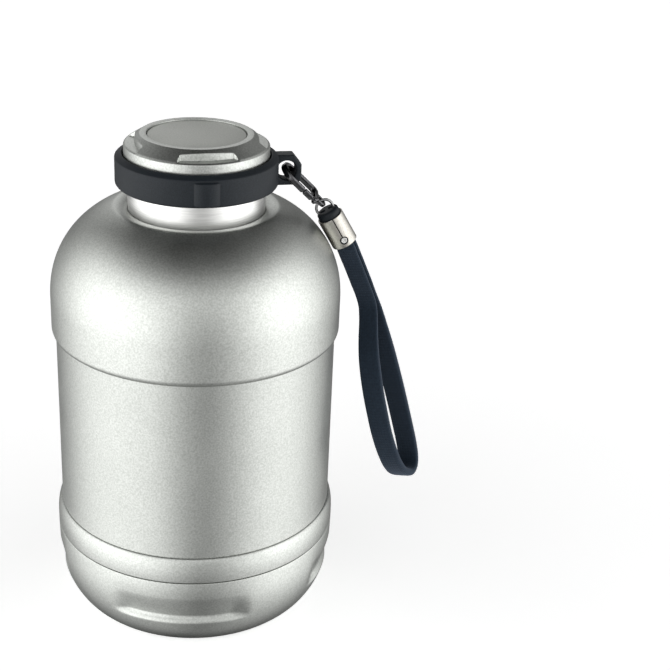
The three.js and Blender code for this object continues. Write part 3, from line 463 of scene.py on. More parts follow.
def finish_mesh(bm, name, sharp=SHARP_ANGLE):
    """Turns a bmesh in millimetres into a smooth-shaded object in metres."""
    bmesh.ops.remove_doubles(bm, verts=bm.verts, dist=0.002)
    bmesh.ops.dissolve_degenerate(bm, edges=bm.edges, dist=0.001)
    bmesh.ops.recalc_face_normals(bm, faces=bm.faces)
    bmesh.ops.scale(bm, vec=Vector((MM, MM, MM)), verts=bm.verts)
    mesh = bpy.data.meshes.new(name)
    bm.to_mesh(mesh)
    bm.free()
    mesh.polygons.foreach_set("use_smooth", [True] * len(mesh.polygons))
    mesh.set_sharp_from_angle(angle=math.radians(sharp))
    piece = bpy.data.objects.new(name, mesh)
    bpy.context.scene.collection.objects.link(piece)
    return piece


def add_lathe(bm, outline, segments, shape=None, closed=True):
    """Turns an outline of (radius, height) about +Z. shape(radius, height, angle) may move a point."""
    rings = []
    for radius, height in outline:
        if radius < 1e-6:
            rings.append([bm.verts.new((0, 0, height))])
            continue
        ring = []
        for i in range(segments):
            angle = 2 * math.pi * i / segments
            r, z = shape(radius, height, angle) if shape else (radius, height)
            ring.append(bm.verts.new((r * math.cos(angle), r * math.sin(angle), z)))
        rings.append(ring)
    pairs = list(zip(rings, rings[1:]))
    if closed:
        pairs.append((rings[-1], rings[0]))
    for a, b in pairs:
        if len(a) == 1 and len(b) == 1:
            continue
        for i in range(segments):
            j = (i + 1) % segments
            corners = [a[i % len(a)], a[j % len(a)], b[j % len(b)], b[i % len(b)]]
            unique = list(dict.fromkeys(corners))
            bm.faces.new(unique)


def lathe(name, outline, segments=192, shape=None, sharp=SHARP_ANGLE):
    bm = bmesh.new()
    add_lathe(bm, outline, segments, shape)
    return finish_mesh(bm, name, sharp)


def plate(name, loops, thickness, bevel):
    """A flat plate in the XY plane with round edges, from an outline and the outlines of its holes."""
    curve = bpy.data.curves.new(name, "CURVE")
    curve.dimensions = "2D"
    curve.fill_mode = "BOTH"
    curve.extrude = (thickness / 2 - bevel) * MM
    curve.bevel_depth = bevel * MM
    curve.bevel_resolution = 3
    curve.offset = -bevel * MM
    for loop in loops:
        spline = curve.splines.new("POLY")
        spline.points.add(len(loop) - 1)
        for point, (x, y) in zip(spline.points, loop):
            point.co = (x * MM, y * MM, 0, 1)
        spline.use_cyclic_u = True
    holder = bpy.data.objects.new(name + "_outline", curve)
    bpy.context.scene.collection.objects.link(holder)
    depsgraph = bpy.context.evaluated_depsgraph_get()
    mesh = bpy.data.meshes.new_from_object(holder.evaluated_get(depsgraph))
    bpy.data.objects.remove(holder)
    bm = bmesh.new()
    bm.from_mesh(mesh)
    bpy.data.meshes.remove(mesh)
    bmesh.ops.scale(bm, vec=Vector((1, 1, 1)) / MM, verts=bm.verts)
    return finish_mesh(bm, name)


def block(name, lowest, highest):
    bm = bmesh.new()
    bmesh.ops.create_cube(bm, size=1)
    size = Vector(highest) - Vector(lowest)
    bmesh.ops.scale(bm, vec=size, verts=bm.verts)
    bmesh.ops.translate(bm, vec=(Vector(lowest) + Vector(highest)) / 2, verts=bm.verts)
    return finish_mesh(bm, name)


def rod(name, radius, start, end, segments=48):
    """A round rod between two points."""
    bm = bmesh.new()
    axis = Vector(end) - Vector(start)
    turn = axis.to_track_quat("Z", "Y").to_matrix().to_4x4()
    place = Matrix.Translation((Vector(start) + Vector(end)) / 2) @ turn
    bmesh.ops.create_cone(
        bm, cap_ends=True, segments=segments, radius1=radius, radius2=radius, depth=axis.length, matrix=place
    )
    return finish_mesh(bm, name)


def carve(piece, *cutters):
    """Cuts the cutters out of a piece, and removes them."""
    for cutter in cutters:
        modifier = piece.modifiers.new("cut", "BOOLEAN")
        modifier.operation = "DIFFERENCE"
        modifier.solver = "EXACT"
        modifier.object = cutter
    depsgraph = bpy.context.evaluated_depsgraph_get()
    mesh = bpy.data.meshes.new_from_object(piece.evaluated_get(depsgraph))
    piece.modifiers.clear()
    piece.data = mesh
    mesh.polygons.foreach_set("use_smooth", [True] * len(mesh.polygons))
    mesh.set_sharp_from_angle(angle=math.radians(SHARP_ANGLE))
    for cutter in cutters:
        bpy.data.objects.remove(cutter)
    return piece


def soften(piece, width, steps=2):
    """Rounds a piece's sharp edges by a width in millimetres."""
    modifier = piece.modifiers.new("soft_edges", "BEVEL")
    modifier.width = width * MM
    modifier.segments = steps
    modifier.limit_method = "ANGLE"
    modifier.angle_limit = math.radians(40)
    return piece


def place(piece, matrix):
    piece.data.transform(matrix)
    return piece


def dress(piece, material, slot, body, *nodes):
    """Gives a piece its material and its body, and hides the CAD nodes it stands for."""
    piece.data.materials.clear()
    piece.data.materials.append(material)
    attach(piece, body)
    if nodes:
        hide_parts(*nodes)
    return piece


def droop_frame(origin, droop):
    """The place of something that hangs from a point: its +X runs down at that many degrees."""
    turn = Matrix.Rotation(math.radians(droop), 4, "Y")
    return Matrix.Translation(origin * MM) @ turn


def droop_between(start, end):
    return math.degrees(math.atan2(start.z - end.z, end.x - start.x))


CLASP_TURN = Matrix.Rotation(math.radians(CLASP_TWIST), 4, "X")
CLASP_FRAME = droop_frame(LUG_HOLE, droop_between(LUG_HOLE, EYE)) @ CLASP_TURN
LINK_FRAME = droop_frame(EYE, droop_between(EYE, CAP_HOLE))
FERRULE_FRAME = droop_frame(CAP_HOLE, FERRULE_DROOP)


# ---------------------------------------------------------------- strap


def strap_path(count):
    """Evenly spaced points on a smooth curve through the route, in metres."""
    mouth = FERRULE_FRAME @ Vector((FERRULE_END * MM, 0, 0))
    route = [mouth + Vector(point) for point in STRAP_ROUTE]
    ends = [2 * route[0] - route[1], *route, 2 * route[-1] - route[-2]]
    fine = []
    for p0, p1, p2, p3 in zip(ends, ends[1:], ends[2:], ends[3:]):
        knots = [0.0]
        for a, b in ((p0, p1), (p1, p2), (p2, p3)):
            knots.append(knots[-1] + math.sqrt((b - a).length))
        for step in range(24):
            t = knots[1] + (knots[2] - knots[1]) * step / 24
            fine.append(catmull_rom((p0, p1, p2, p3), knots, t))
    fine.append(route[-1])
    return resampled(fine, count)


def catmull_rom(points, knots, t):
    """A point on a Catmull-Rom curve between the two middle points, at knot value t."""

    def mix(p, q, a, b):
        return p * ((b - t) / (b - a)) + q * ((t - a) / (b - a))

    p0, p1, p2, p3 = points
    k0, k1, k2, k3 = knots
    first, middle, last = mix(p0, p1, k0, k1), mix(p1, p2, k1, k2), mix(p2, p3, k2, k3)
    return mix(mix(first, middle, k0, k2), mix(middle, last, k1, k3), k1, k2)


def resampled(points, count):
    lengths = [0.0]
    for a, b in zip(points, points[1:]):
        lengths.append(lengths[-1] + (b - a).length)
    out = []
    k = 0
    for i in range(count + 1):
        goal = lengths[-1] * i / count
        while k < len(points) - 2 and lengths[k + 1] < goal:
            k += 1
        share = (goal - lengths[k]) / (lengths[k + 1] - lengths[k])
        out.append(points[k].lerp(points[k + 1], share))
    return out


def strap_section():
    """The tape's section, in millimetres across and through it: flat, with soft round edges."""
    half = STRAP_WIDTH / 2
    edge = STRAP_THICKNESS / 2
    return arc((0, 0), half, edge, 0, 345, 23, fullness=4.5)


def make_strap():
    path = strap_path(STRAP_STEPS)
    length = sum((b - a).length for a, b in zip(path, path[1:]))
    across = STRAP_HANG.normalized().cross(STRAP_FACE.normalized()).normalized()
    section = strap_section()
    bm = bmesh.new()
    uv = bm.loops.layers.uv.new("tape")
    rings = []
    for i, point in enumerate(path):
        tangent = (path[min(i + 1, len(path) - 1)] - path[max(i - 1, 0)]).normalized()
        side = (across - tangent * across.dot(tangent)).normalized()
        face = tangent.cross(side)
        from_ends = min(i, len(path) - 1 - i) * length / (len(path) - 1) / MM
        swell = smooth_step(from_ends, STRAP_SWELL_START, STRAP_SWELL_END)
        wide = side * (1 + STRAP_SWELL_WIDTH * swell)
        thick = face * (1 + STRAP_SWELL_THICKNESS * swell)
        rings.append([bm.verts.new(point / MM + wide * x + thick * y) for x, y in section])
    count = len(section)
    for i, (a, b) in enumerate(zip(rings, rings[1:])):
        for k in range(count):
            m = (k + 1) % count
            made = bm.faces.new((a[k], a[m], b[m], b[k]))
            ends = ((k, i), (m, i), (m, i + 1), (k, i + 1))
            for loop, (n, row) in zip(made.loops, ends):
                loop[uv].uv = (section[n][0] * MM, row * length / (len(path) - 1))
    bm.faces.new(rings[0])
    bm.faces.new(rings[-1])
    strap = finish_mesh(bm, "wrist_strap_tape", 60)
    dress(strap, WEBBING, "navy_webbing", "strap", "wrist_strap")


# ---------------------------------------------------------------- body


def dome(set_in, end_radius, count):
    """The shoulder's dome, set in by a distance, from its widest point up to a radius."""
    width = BODY_RADIUS - LIP_SET_BACK - DOME_CENTRE_RADIUS - set_in
    share = (end_radius - DOME_CENTRE_RADIUS) / width
    end = math.degrees(math.acos(share ** (DOME_FULLNESS / 2)))
    centre = (DOME_CENTRE_RADIUS, DOME_START)
    return arc(centre, width, DOME_HEIGHT - set_in, 0, end, count, DOME_FULLNESS)


def make_outer_shell():
    neck_hole = NECK_RADIUS + GAP
    outer_dome = dome(0, neck_hole + FOOT_REACH, 48)
    foot = outer_dome[-1][1]
    lip_width = BODY_RADIUS - LIP_SET_BACK - PANEL_RADIUS - 0.4
    lip_centre = (BODY_RADIUS - LIP_SET_BACK - lip_width, LIP_BOTTOM + 2.5)
    band_centre = (PANEL_RADIUS, BAND_TOP - BAND_ARC_HEIGHT)
    band = arc(band_centre, BODY_RADIUS - PANEL_RADIUS, BAND_ARC_HEIGHT, 0, 90, 16)
    dip_start = (neck_hole + FOOT_REACH, foot)
    dip_control = (neck_hole + FOOT_PULL, foot + FOOT_LIFT)
    dip = curve_between(dip_start, dip_control, (neck_hole, foot - FOOT_DROP), 14)
    outline = rounded([
        (SPIGOT_RADIUS, SPIGOT_BOTTOM),
        (SPIGOT_RADIUS, SEAM + GAP),
        (BODY_RADIUS, SEAM + GAP, 0.45),
        *band,
        (PANEL_RADIUS, LIP_BOTTOM - 0.6, 0.4),
        *arc(lip_centre, lip_width, 2.5, -90, 0, 10),
        *outer_dome,
        *dip[1:],
        (neck_hole, foot - 2.3),
        (neck_hole + FOOT_PULL, foot - 1.4),
        *reversed(dome(SHELL_WALL, neck_hole + FOOT_REACH, 24)),
        (PANEL_RADIUS - SHELL_WALL, LIP_BOTTOM + 1),
        (PANEL_RADIUS - SHELL_WALL, SPIGOT_BOTTOM),
    ])
    shell = lathe("outer_shell_paint", outline, 256)
    dress(shell, SILVER_PAINT, "silver_paint", "jug", "outer_shell")


def smooth_step(value, start, end):
    share = min(1.0, max(0.0, (value - start) / (end - start)))
    return share * share * (3 - 2 * share)


def press_grip(radius, height, angle):
    """Presses the finger grips into the base cup's wall."""
    if radius <= FOOT_RADIUS:
        return radius, height
    from_front = math.degrees(angle) + 90
    spacing = 360 / GRIP_COUNT
    turned = (from_front - GRIP_OFFSET_ANGLE + spacing / 2) % spacing
    from_centre = abs(turned - spacing / 2)
    edge_start = GRIP_HALF_ANGLE - GRIP_EDGE_INSIDE
    across = 1 - smooth_step(from_centre, edge_start, GRIP_HALF_ANGLE + GRIP_EDGE_OUTSIDE)
    upper = 1 - smooth_step(height, GRIP_BOTTOM + GRIP_STEP, GRIP_TOP)
    lower = smooth_step(height, GRIP_BOTTOM, GRIP_BOTTOM + GRIP_STEP)
    return radius - GRIP_DEPTH * across * upper * lower, height


def make_base():
    centre = (FOOT_RADIUS, BASE_CORNER_HEIGHT)
    outline = rounded([
        (0, PAD_TOP + GAP),
        (PAD_RADIUS + GAP, PAD_TOP + GAP),
        (PAD_RADIUS + GAP, CUP_BOTTOM, 0.3),
        *arc(centre, BASE_CORNER_WIDTH, BASE_CORNER_HEIGHT - CUP_BOTTOM, -90, 0, 72),
        (BODY_RADIUS, SEAM, 0.45),
        (BODY_RADIUS - CUP_WALL, SEAM),
        *arc(centre, BASE_CORNER_WIDTH - CUP_WALL, BASE_CORNER_HEIGHT - FLOOR_TOP, 0, -90, 40),
        (0, FLOOR_TOP),
    ])
    cup = lathe("base_cup_paint", outline, 288, press_grip)
    dress(cup, SILVER_PAINT, "silver_paint", "jug", "base_cup")
    pad = lathe("base_pad_rubber", rounded([
        (0, 0),
        (PAD_RADIUS, 0, 0.5),
        (PAD_RADIUS, PAD_TOP, 0.2),
        (0, PAD_TOP),
    ]))
    dress(pad, RUBBER, "black_rubber", "jug", "base_pad")


def make_neck():
    groove = NECK_RADIUS - NECK_GROOVE_DEPTH
    outline = rounded([
        (COLLAR_BORE, NECK_FOOT),
        (NECK_RADIUS, NECK_FOOT),
        (NECK_RADIUS, FLANGE_BOTTOM - GAP, 0.2),
        (groove, FLANGE_BOTTOM - GAP),
        (groove, FLANGE_TOP + GAP),
        (NECK_RADIUS, FLANGE_TOP + GAP, 0.3),
        (NECK_RADIUS, FLANGE_TOP + GAP + 1.5, 0.4),
        (NECK_RADIUS - 0.4, FLANGE_TOP + GAP + 2, 0.4),
        (NECK_RADIUS - 0.4, NECK_TOP, 0.3),
        (COLLAR_BORE, NECK_TOP, 0.3),
    ])
    dress(lathe("neck_collar_steel", outline), NECK_STEEL, "bright_steel", "jug", "neck_collar")


def make_liner():
    set_in = BODY_RADIUS - LIP_SET_BACK - FLASK_RADIUS
    neck = COLLAR_BORE - GAP
    rim = FLASK_TOP - FLASK_WALL
    corner = (FLASK_RADIUS - BASE_CORNER_WIDTH, BASE_CORNER_HEIGHT)
    drop = BASE_CORNER_HEIGHT - FLASK_BOTTOM
    outline = rounded([
        (0, FLASK_BOTTOM),
        *arc(corner, BASE_CORNER_WIDTH, drop, -90, 0, 24),
        *dome(set_in, neck, 24),
        (neck, rim),
        (NECK_RADIUS - 0.6, rim),
        (NECK_RADIUS - 0.6, FLASK_TOP, 0.3),
        (MOUTH_RADIUS, FLASK_TOP, 0.5),
        *reversed(dome(set_in + FLASK_WALL, MOUTH_RADIUS, 24)),
        *arc(corner, BASE_CORNER_WIDTH - FLASK_WALL, drop - FLASK_WALL, 0, -90, 24),
        (0, FLASK_BOTTOM + FLASK_WALL),
    ])
    liner = lathe("inner_flask_steel", outline)
    dress(liner, LINER_STEEL, "liner_steel", "jug", "inner_flask")
    thread = make_thread("mouth_thread", MOUTH_RADIUS, -THREAD_DEPTH, MOUTH_THREAD_START)
    dress(thread, LINER_STEEL, "liner_steel", "jug")


def make_thread(name, root, depth, start_height):
    """Screw ridges that rise from a wall and fade out at both ends. A negative depth points inward."""
    bm = bmesh.new()
    steps = 72
    outward = math.copysign(1, depth)
    half_section = [(-0.3, 0.8), (0.0, 0.8), (0.75, 0.55), (1.0, 0.3)]
    section = [(share, -up) for share, up in half_section] + half_section[::-1]
    for start in range(THREAD_STARTS):
        rings = []
        for i in range(steps + 1):
            turn = THREAD_SWEEP * i / steps
            angle = math.radians(360 * start / THREAD_STARTS + turn)
            fade = smooth_step(min(i, steps - i), 0, 6)
            middle = start_height + THREAD_LEAD * turn / 360
            ring = []
            for share, up in section:
                radius = root + (depth * fade * share if share > 0 else outward * share)
                ring.append(bm.verts.new((radius * math.cos(angle), radius * math.sin(angle), middle + up)))
            rings.append(ring)
        for a, b in zip(rings, rings[1:]):
            for k in range(len(section)):
                m = (k + 1) % len(section)
                bm.faces.new((a[k], a[m], b[m], b[k]))
        bm.faces.new(rings[0])
        bm.faces.new(rings[-1])
    return finish_mesh(bm, name)


# ---------------------------------------------------------------- lid


def press_notch(radius, height, angle):
    """Lowers the lid's cone to a flat floor in each notch."""
    floor = LEDGE_HEIGHT - 0.3
    if height <= floor:
        return radius, height
    spacing = 2 * math.pi / NOTCH_COUNT
    centre = math.radians(NOTCH_OFFSET_ANGLE - 90)
    turned = (angle - centre + spacing / 2) % spacing - spacing / 2
    out = radius * math.cos(turned)
    across = abs(radius * math.sin(turned))
    half = NOTCH_INNER_WIDTH / 2 + (out - NOTCH_DISTANCE) * NOTCH_WIDENING / 2
    soft = NOTCH_SOFTNESS
    wall = NOTCH_DISTANCE - NOTCH_BOW * across**2
    beyond = smooth_step(out, wall - soft, wall + soft)
    within = 1 - smooth_step(across, half - soft, half + soft)
    return radius, height - (height - floor) * beyond * within


def make_lid():
    inside = LID_RADIUS - LID_WALL
    rim_inner = LID_RIM_RADIUS - 3
    seat = DISC_BOTTOM - GAP
    roof = seat - LID_WALL
    under = LEDGE_HEIGHT - LID_WALL - 0.3
    cone_rows = 36
    cone = []
    for i in range(1, cone_rows):
        share = i / cone_rows
        radius = (LID_RADIUS - 1) * (1 - share) + LID_RIM_RADIUS * share
        cone.append((radius, LEDGE_HEIGHT + (LID_TOP - LEDGE_HEIGHT) * share))
    outline = rounded([
        (inside, SKIRT_BOTTOM),
        (LID_RADIUS, SKIRT_BOTTOM, 0.3),
        (LID_RADIUS, LEDGE_HEIGHT - 0.9, 0.8),
        (LID_RADIUS - 1, LEDGE_HEIGHT, 0.3),
        *cone,
        (LID_RIM_RADIUS, LID_TOP, 0.5),
        (rim_inner, LID_TOP, 0.3),
        (rim_inner, seat),
        (0, seat),
        (0, roof),
        (LID_RIM_RADIUS - LID_WALL, roof),
        (NOTCH_DISTANCE - LID_WALL, under),
        (inside, under),
    ])
    lid = lathe("lid_shell_paint", outline, 720, press_notch, 50)
    dress(lid, SILVER_PAINT, "silver_paint", "lid", "lid_shell")
    disc = lathe("lid_top_disc_satin", rounded([
        (0, DISC_BOTTOM),
        (DISC_RADIUS, DISC_BOTTOM),
        (DISC_RADIUS, DISC_TOP, 0.35),
        (DISC_RADIUS * 0.5, DISC_TOP),
        (0, DISC_TOP),
    ]))
    dress(disc, GREY_SATIN, "grey_satin", "lid", "lid_top_disc")
    make_plug()


def make_plug():
    flange = LID_RADIUS - LID_WALL - GAP
    bore = PLUG_RADIUS - PLUG_WALL
    groove = MOUTH_RADIUS + 0.4
    underside = GASKET_BOTTOM + (GASKET_TOP - GASKET_BOTTOM) / 2
    outline = rounded([
        (0, PLUG_BOTTOM),
        (PLUG_RADIUS, PLUG_BOTTOM, 1.2),
        (PLUG_RADIUS, underside),
        (groove, underside),
        (groove, GASKET_TOP + GAP),
        (flange, GASKET_TOP + GAP),
        (flange, GASKET_BOTTOM + 2.6),
        (PLUG_RADIUS, GASKET_BOTTOM + 2.6),
        (PLUG_RADIUS, PLUG_TOP),
        (bore, PLUG_TOP),
        (bore, PLUG_BOTTOM + PLUG_WALL),
        (0, PLUG_BOTTOM + PLUG_WALL),
    ])
    dress(lathe("lid_plug_plastic", outline), BLACK_PLASTIC, "black_plastic", "lid", "lid_plug")
    crest = MOUTH_RADIUS - THREAD_PLAY - PLUG_RADIUS
    thread = make_thread("plug_thread", PLUG_RADIUS, crest, PLUG_THREAD_START)
    dress(thread, BLACK_PLASTIC, "black_plastic", "lid")
    inner = MOUTH_RADIUS + 0.4 + GAP
    outer = NECK_RADIUS - 0.6
    gasket = lathe("lid_gasket_silicone", rounded([
        (inner, GASKET_BOTTOM, 0.3),
        (outer, GASKET_BOTTOM, 0.3),
        (outer, GASKET_TOP, 0.3),
        (inner, GASKET_TOP, 0.3),
    ]))
    dress(gasket, SILICONE, "silicone", "gasket", "lid_gasket")


# ---------------------------------------------------------------- carry ring


def make_ring():
    bore = NECK_RADIUS + 0.4
    outline = rounded([
        (bore, RING_BOTTOM, 0.3),
        (RING_RADIUS, RING_BOTTOM, 1.3),
        (RING_RADIUS, RING_TOP - 0.2, 0.9),
        (RING_BORE + 0.2, RING_RIM, 0.4),
        (RING_BORE, RING_RIM - 0.5, 0.2),
        (RING_BORE, FLANGE_TOP),
        (bore - NECK_GROOVE_DEPTH, FLANGE_TOP),
        (bore - NECK_GROOVE_DEPTH, FLANGE_BOTTOM),
        (bore, FLANGE_BOTTOM),
    ])
    ring = lathe("carry_ring_plastic", outline, 224)
    dress(ring, BLACK_PLASTIC, "black_plastic", "ring", "carry_ring")
    for i in range(2):
        depth = RIB_REACH - RING_RADIUS + 2
        bulge = arc((0, 0), RIB_WIDTH / 2, depth, 180, 360, 28)
        rib = plate(f"carry_ring_rib_{i + 1}", [bulge], RIB_HEIGHT, 0.7)
        middle = Vector((0, 2 - RING_RADIUS, RIB_FOOT + RIB_HEIGHT / 2)) * MM
        place(rib, Matrix.Rotation(math.pi * i, 4, "Z") @ Matrix.Translation(middle))
        dress(rib, BLACK_PLASTIC, "black_plastic", "ring")
    make_lug()


def make_lug():
    half = LUG_HEIGHT / 2
    root = RING_RADIUS - 1.6
    centre = LUG_HOLE.x
    outline = rounded([
        (root, -half),
        (LUG_REACH, -half, 4),
        (LUG_REACH, half - 4.5, 0.8),
        (LUG_REACH - 3.5, half, 0.8),
        (root, half),
    ], steps=8)
    hole = arc((centre, 0), LUG_HOLE_RADIUS, LUG_HOLE_RADIUS, 0, 355, 71)
    lug = plate("carry_ring_lug", [outline, hole], LUG_THICKNESS, 0.8)
    stand = Matrix.Rotation(math.radians(90), 4, "X")
    place(lug, Matrix.Translation(Vector((0, 0, LUG_HOLE.z)) * MM) @ stand)
    dress(lug, BLACK_PLASTIC, "black_plastic", "ring")


# ---------------------------------------------------------------- clasp and jump ring


def make_clasp():
    back = PIN_X - 1.6
    frame_end = CLASP_LENGTH - EYE_RADIUS
    outline = rounded([
        (CLASP_NOSE, -BOW_RADIUS, 0.5),
        *reversed(arc((BOW_CENTRE, 0), BOW_RADIUS, BOW_RADIUS, 90, 270, 32)),
        (PIN_X, BOW_RADIUS, 3),
        (frame_end, EYE_OUTER + 1.1, 0.5),
        (frame_end, -EYE_OUTER - 1.1, 0.5),
        (PIN_X, -BOW_RADIUS, 1.5),
        (back, -BOW_RADIUS, 0.3),
        (back, 0.3 - OPENING_HALF),
        (OPENING_END, 0.3 - OPENING_HALF, 0.5),
        (OPENING_END, OPENING_HALF, 2),
        *arc((BOW_CENTRE, 0), OPENING_HALF, OPENING_HALF, 90, 270, 28),
        (CLASP_NOSE, -OPENING_HALF, 0.5),
    ])
    body = plate("clasp_body_metal", [outline], CLASP_THICKNESS, 0.9)
    slot_half = KNUCKLE_THICKNESS / 2 + GAP
    slot_low = (PIN_X - 1.9, -BOW_RADIUS - 1, -slot_half)
    slot_high = (PIN_X + 1.4, 0.6, slot_half)
    carve(body, block("clasp_slot", slot_low, slot_high))
    dress(place(body, CLASP_FRAME), GUNMETAL, "gunmetal", "clasp", "clasp_body")
    neck = frame_end - 1.2
    eye_outline = rounded([
        (neck, -EYE_OUTER, 0),
        *arc((CLASP_LENGTH, 0), EYE_OUTER, EYE_OUTER, -90, 90, 28),
        (neck, EYE_OUTER, 0),
    ])
    eye_hole = arc((CLASP_LENGTH, 0), EYE_RADIUS, EYE_RADIUS, 0, 350, 35)
    eye = plate("clasp_eye_metal", [eye_outline, eye_hole], 2, 0.6)
    dress(place(eye, CLASP_FRAME), GUNMETAL, "gunmetal", "clasp")
    make_gate()


def make_gate():
    outer = 0.1 - BOW_RADIUS
    start = CLASP_NOSE + GAP
    end = PIN_X - 2.4
    bar_outline = rounded([
        (start, outer, 0.5),
        (end, outer, 0.4),
        (end, -OPENING_HALF, 0.4),
        (start, -OPENING_HALF, 0.4),
    ])
    bar = plate("clasp_gate_bar", [bar_outline], CLASP_THICKNESS - 0.2, 0.7)
    dress(place(bar, CLASP_FRAME), GUNMETAL, "gunmetal", "gate", "clasp_gate")
    knuckle_outline = rounded([
        (end - 1, outer + 0.5),
        (PIN_X - 0.8, outer + 0.5),
        *arc((PIN_X, PIN_Y), 1.1, 1.1, -130, 90, 16),
        (end - 1, -OPENING_HALF - 0.3),
    ])
    knuckle = plate("clasp_gate_knuckle", [knuckle_outline], KNUCKLE_THICKNESS, 0.15)
    dress(place(knuckle, CLASP_FRAME), GUNMETAL, "gunmetal", "gate")
    pin_half = CLASP_THICKNESS / 2 + 0.15
    pin = soften(rod("gate_pin_steel", 0.45, (PIN_X, PIN_Y, -pin_half), (PIN_X, PIN_Y, pin_half)), 0.12)
    dress(place(pin, CLASP_FRAME), SPRING_STEEL, "spring_steel", "clasp", "gate_pin")


def make_jump_ring():
    bm = bmesh.new()
    circle = arc((LINK_RADIUS, 0), LINK_WIRE, LINK_WIRE, 0, 342, 19)
    add_lathe(bm, circle, 96)
    ring = finish_mesh(bm, "jump_ring_wire")
    lying = Matrix.Rotation(math.radians(90), 4, "X")
    place(ring, LINK_FRAME @ Matrix.Translation(Vector((LINK_RADIUS, 0, 0)) * MM) @ lying)
    dress(ring, SPRING_STEEL, "spring_steel", "link", "jump_ring")


# ---------------------------------------------------------------- ferrule


def lathe_along_x(name, outline, segments=96):
    """Turns an outline of (radius, distance) about +X."""
    return place(lathe(name, outline, segments), Matrix.Rotation(math.radians(90), 4, "Y"))


def make_ferrule():
    cap_end = FERRULE_START + 3.6
    cap = lathe_along_x("cord_end_cap_plastic", rounded([
        (0, CAP_TOP),
        (CAP_RADIUS, CAP_TOP, 1.7),
        (CAP_RADIUS, cap_end, 0.3),
        (0, cap_end),
    ], steps=8))
    side = CAP_RADIUS + 1
    slot = CAP_SLOT / 2
    carve(
        cap,
        block("cap_slot_1", (CAP_TOP - 1, -slot, CAP_WEB / 2), (1.6, slot, side)),
        block("cap_slot_2", (CAP_TOP - 1, -slot, -side), (1.6, slot, -CAP_WEB / 2)),
        rod("cap_hole", 1.8, (LINK_PLAY, 0, -CAP_WEB), (LINK_PLAY, 0, CAP_WEB)),
    )
    dress(place(cap, FERRULE_FRAME), BLACK_PLASTIC, "black_plastic", "strap", "cord_end_cap")
    tube = lathe_along_x("ferrule_nickel", rounded([
        (FERRULE_BORE, FERRULE_START, 0.15),
        (FERRULE_RADIUS, FERRULE_START, 0.25),
        (FERRULE_RADIUS, FERRULE_END, 0.25),
        (FERRULE_BORE, FERRULE_END, 0.15),
    ]))
    front = -FERRULE_RADIUS
    carve(
        tube,
        rod("ferrule_hole", SCREW_RECESS, (SCREW_X, front - 1, 0), (SCREW_X, front + 1.2, 0)),
        block(
            "ferrule_slit",
            (FERRULE_START - 1, front - 1, -FERRULE_SLIT / 2),
            (SCREW_X, 0, FERRULE_SLIT / 2),
        ),
    )
    soften(tube, 0.1)
    dress(place(tube, FERRULE_FRAME), NICKEL, "brushed_nickel", "strap", "ferrule")
    make_screw(front)


def make_screw(front):
    top = front + 0.1
    screw = rod("ferrule_screw_steel", SCREW_RADIUS, (SCREW_X, top, 0), (SCREW_X, top + 2.6, 0))
    carve(
        screw,
        block("screw_slot_1", (SCREW_X - 0.9, top - 1, -0.2), (SCREW_X + 0.9, top + 0.5, 0.2)),
        block("screw_slot_2", (SCREW_X - 0.2, top - 1, -0.9), (SCREW_X + 0.2, top + 0.5, 0.9)),
    )
    soften(screw, 0.15)
    dress(place(screw, FERRULE_FRAME), NECK_STEEL, "bright_steel", "strap", "ferrule_screw")


# ---------------------------------------------------------------- hidden CAD pieces and stage

FLOOR_HALF = 6000
FLOOR_GLOW = 0.5
PANEL_POWER = 0.2


def dress_cad_nodes():
    kept = {
        "getter": SPRING_STEEL,
        "vacuum_seal_disc": LINER_STEEL,
        "lid_foam": FOAM,
        "gate_spring": SPRING_STEEL,
    }
    for node, material in kept.items():
        data = frame["nodes"][node].data
        data.materials.clear()
        data.materials.append(material)


def make_floor():
    bm = bmesh.new()
    bmesh.ops.create_grid(bm, x_segments=8, y_segments=8, size=FLOOR_HALF)
    floor = finish_mesh(bm, "floor")
    material, nodes, links = new_material("floor_looks")
    shader = nodes["Principled BSDF"]
    place_on = nodes.new("ShaderNodeTexCoord").outputs["Object"]
    mottle = noise(nodes, links, place_on, 3, 2.0)
    links.new(ramp(nodes, links, mottle, (0.86, 0.86, 0.86), (0.88, 0.88, 0.88)), shader.inputs["Base Color"])
    shader.inputs["Roughness"].default_value = 0.9
    shader.inputs["Specular IOR Level"].default_value = 0.1
    shader.inputs["Emission Color"].default_value = (1, 1, 1, 1)
    shader.inputs["Emission Strength"].default_value = FLOOR_GLOW
    floor.data.materials.append(material)
    floor.visible_glossy = False


# Brightness of the studio's surroundings, by azimuth from -Y towards +X in degrees.
WORLD_ROUND = [
    (-180, 0.03),
    (-145, 0.10),
    (-120, 0.60),
    (-95, 1.0),
    (-48, 1.0),
    (-30, 0.65),
    (-15, 0.30),
    (0, 0.15),
    (12, 0.25),
    (28, 0.55),
    (45, 0.90),
    (65, 1.0),
    (88, 0.90),
    (108, 0.45),
    (135, 0.06),
    (180, 0.03),
]
# What that is multiplied by, from straight down (-1) to straight up (1).
WORLD_RISE = [
    (-1, 0.2),
    (-0.8, 0.32),
    (-0.6, 0.62),
    (-0.4, 1),
    (0.3, 1),
    (0.55, 0.8),
    (0.72, 0.24),
    (0.84, 0.04),
    (0.95, 0.004),
]
WORLD_STRENGTH = 2.5
# Two wide lamps: azimuth, elevation, strength, and how tightly each is gathered.
WORLD_GLOWS = [
    (0, 35, 0.24, 14),
    (180, 24, 0.5, 24),
]


def direction(azimuth, elevation):
    """A unit direction from the jug. Azimuth is from -Y towards +X, in degrees."""
    turn, lift = math.radians(azimuth), math.radians(elevation)
    return Vector((math.sin(turn) * math.cos(lift), -math.cos(turn) * math.cos(lift), math.sin(lift)))


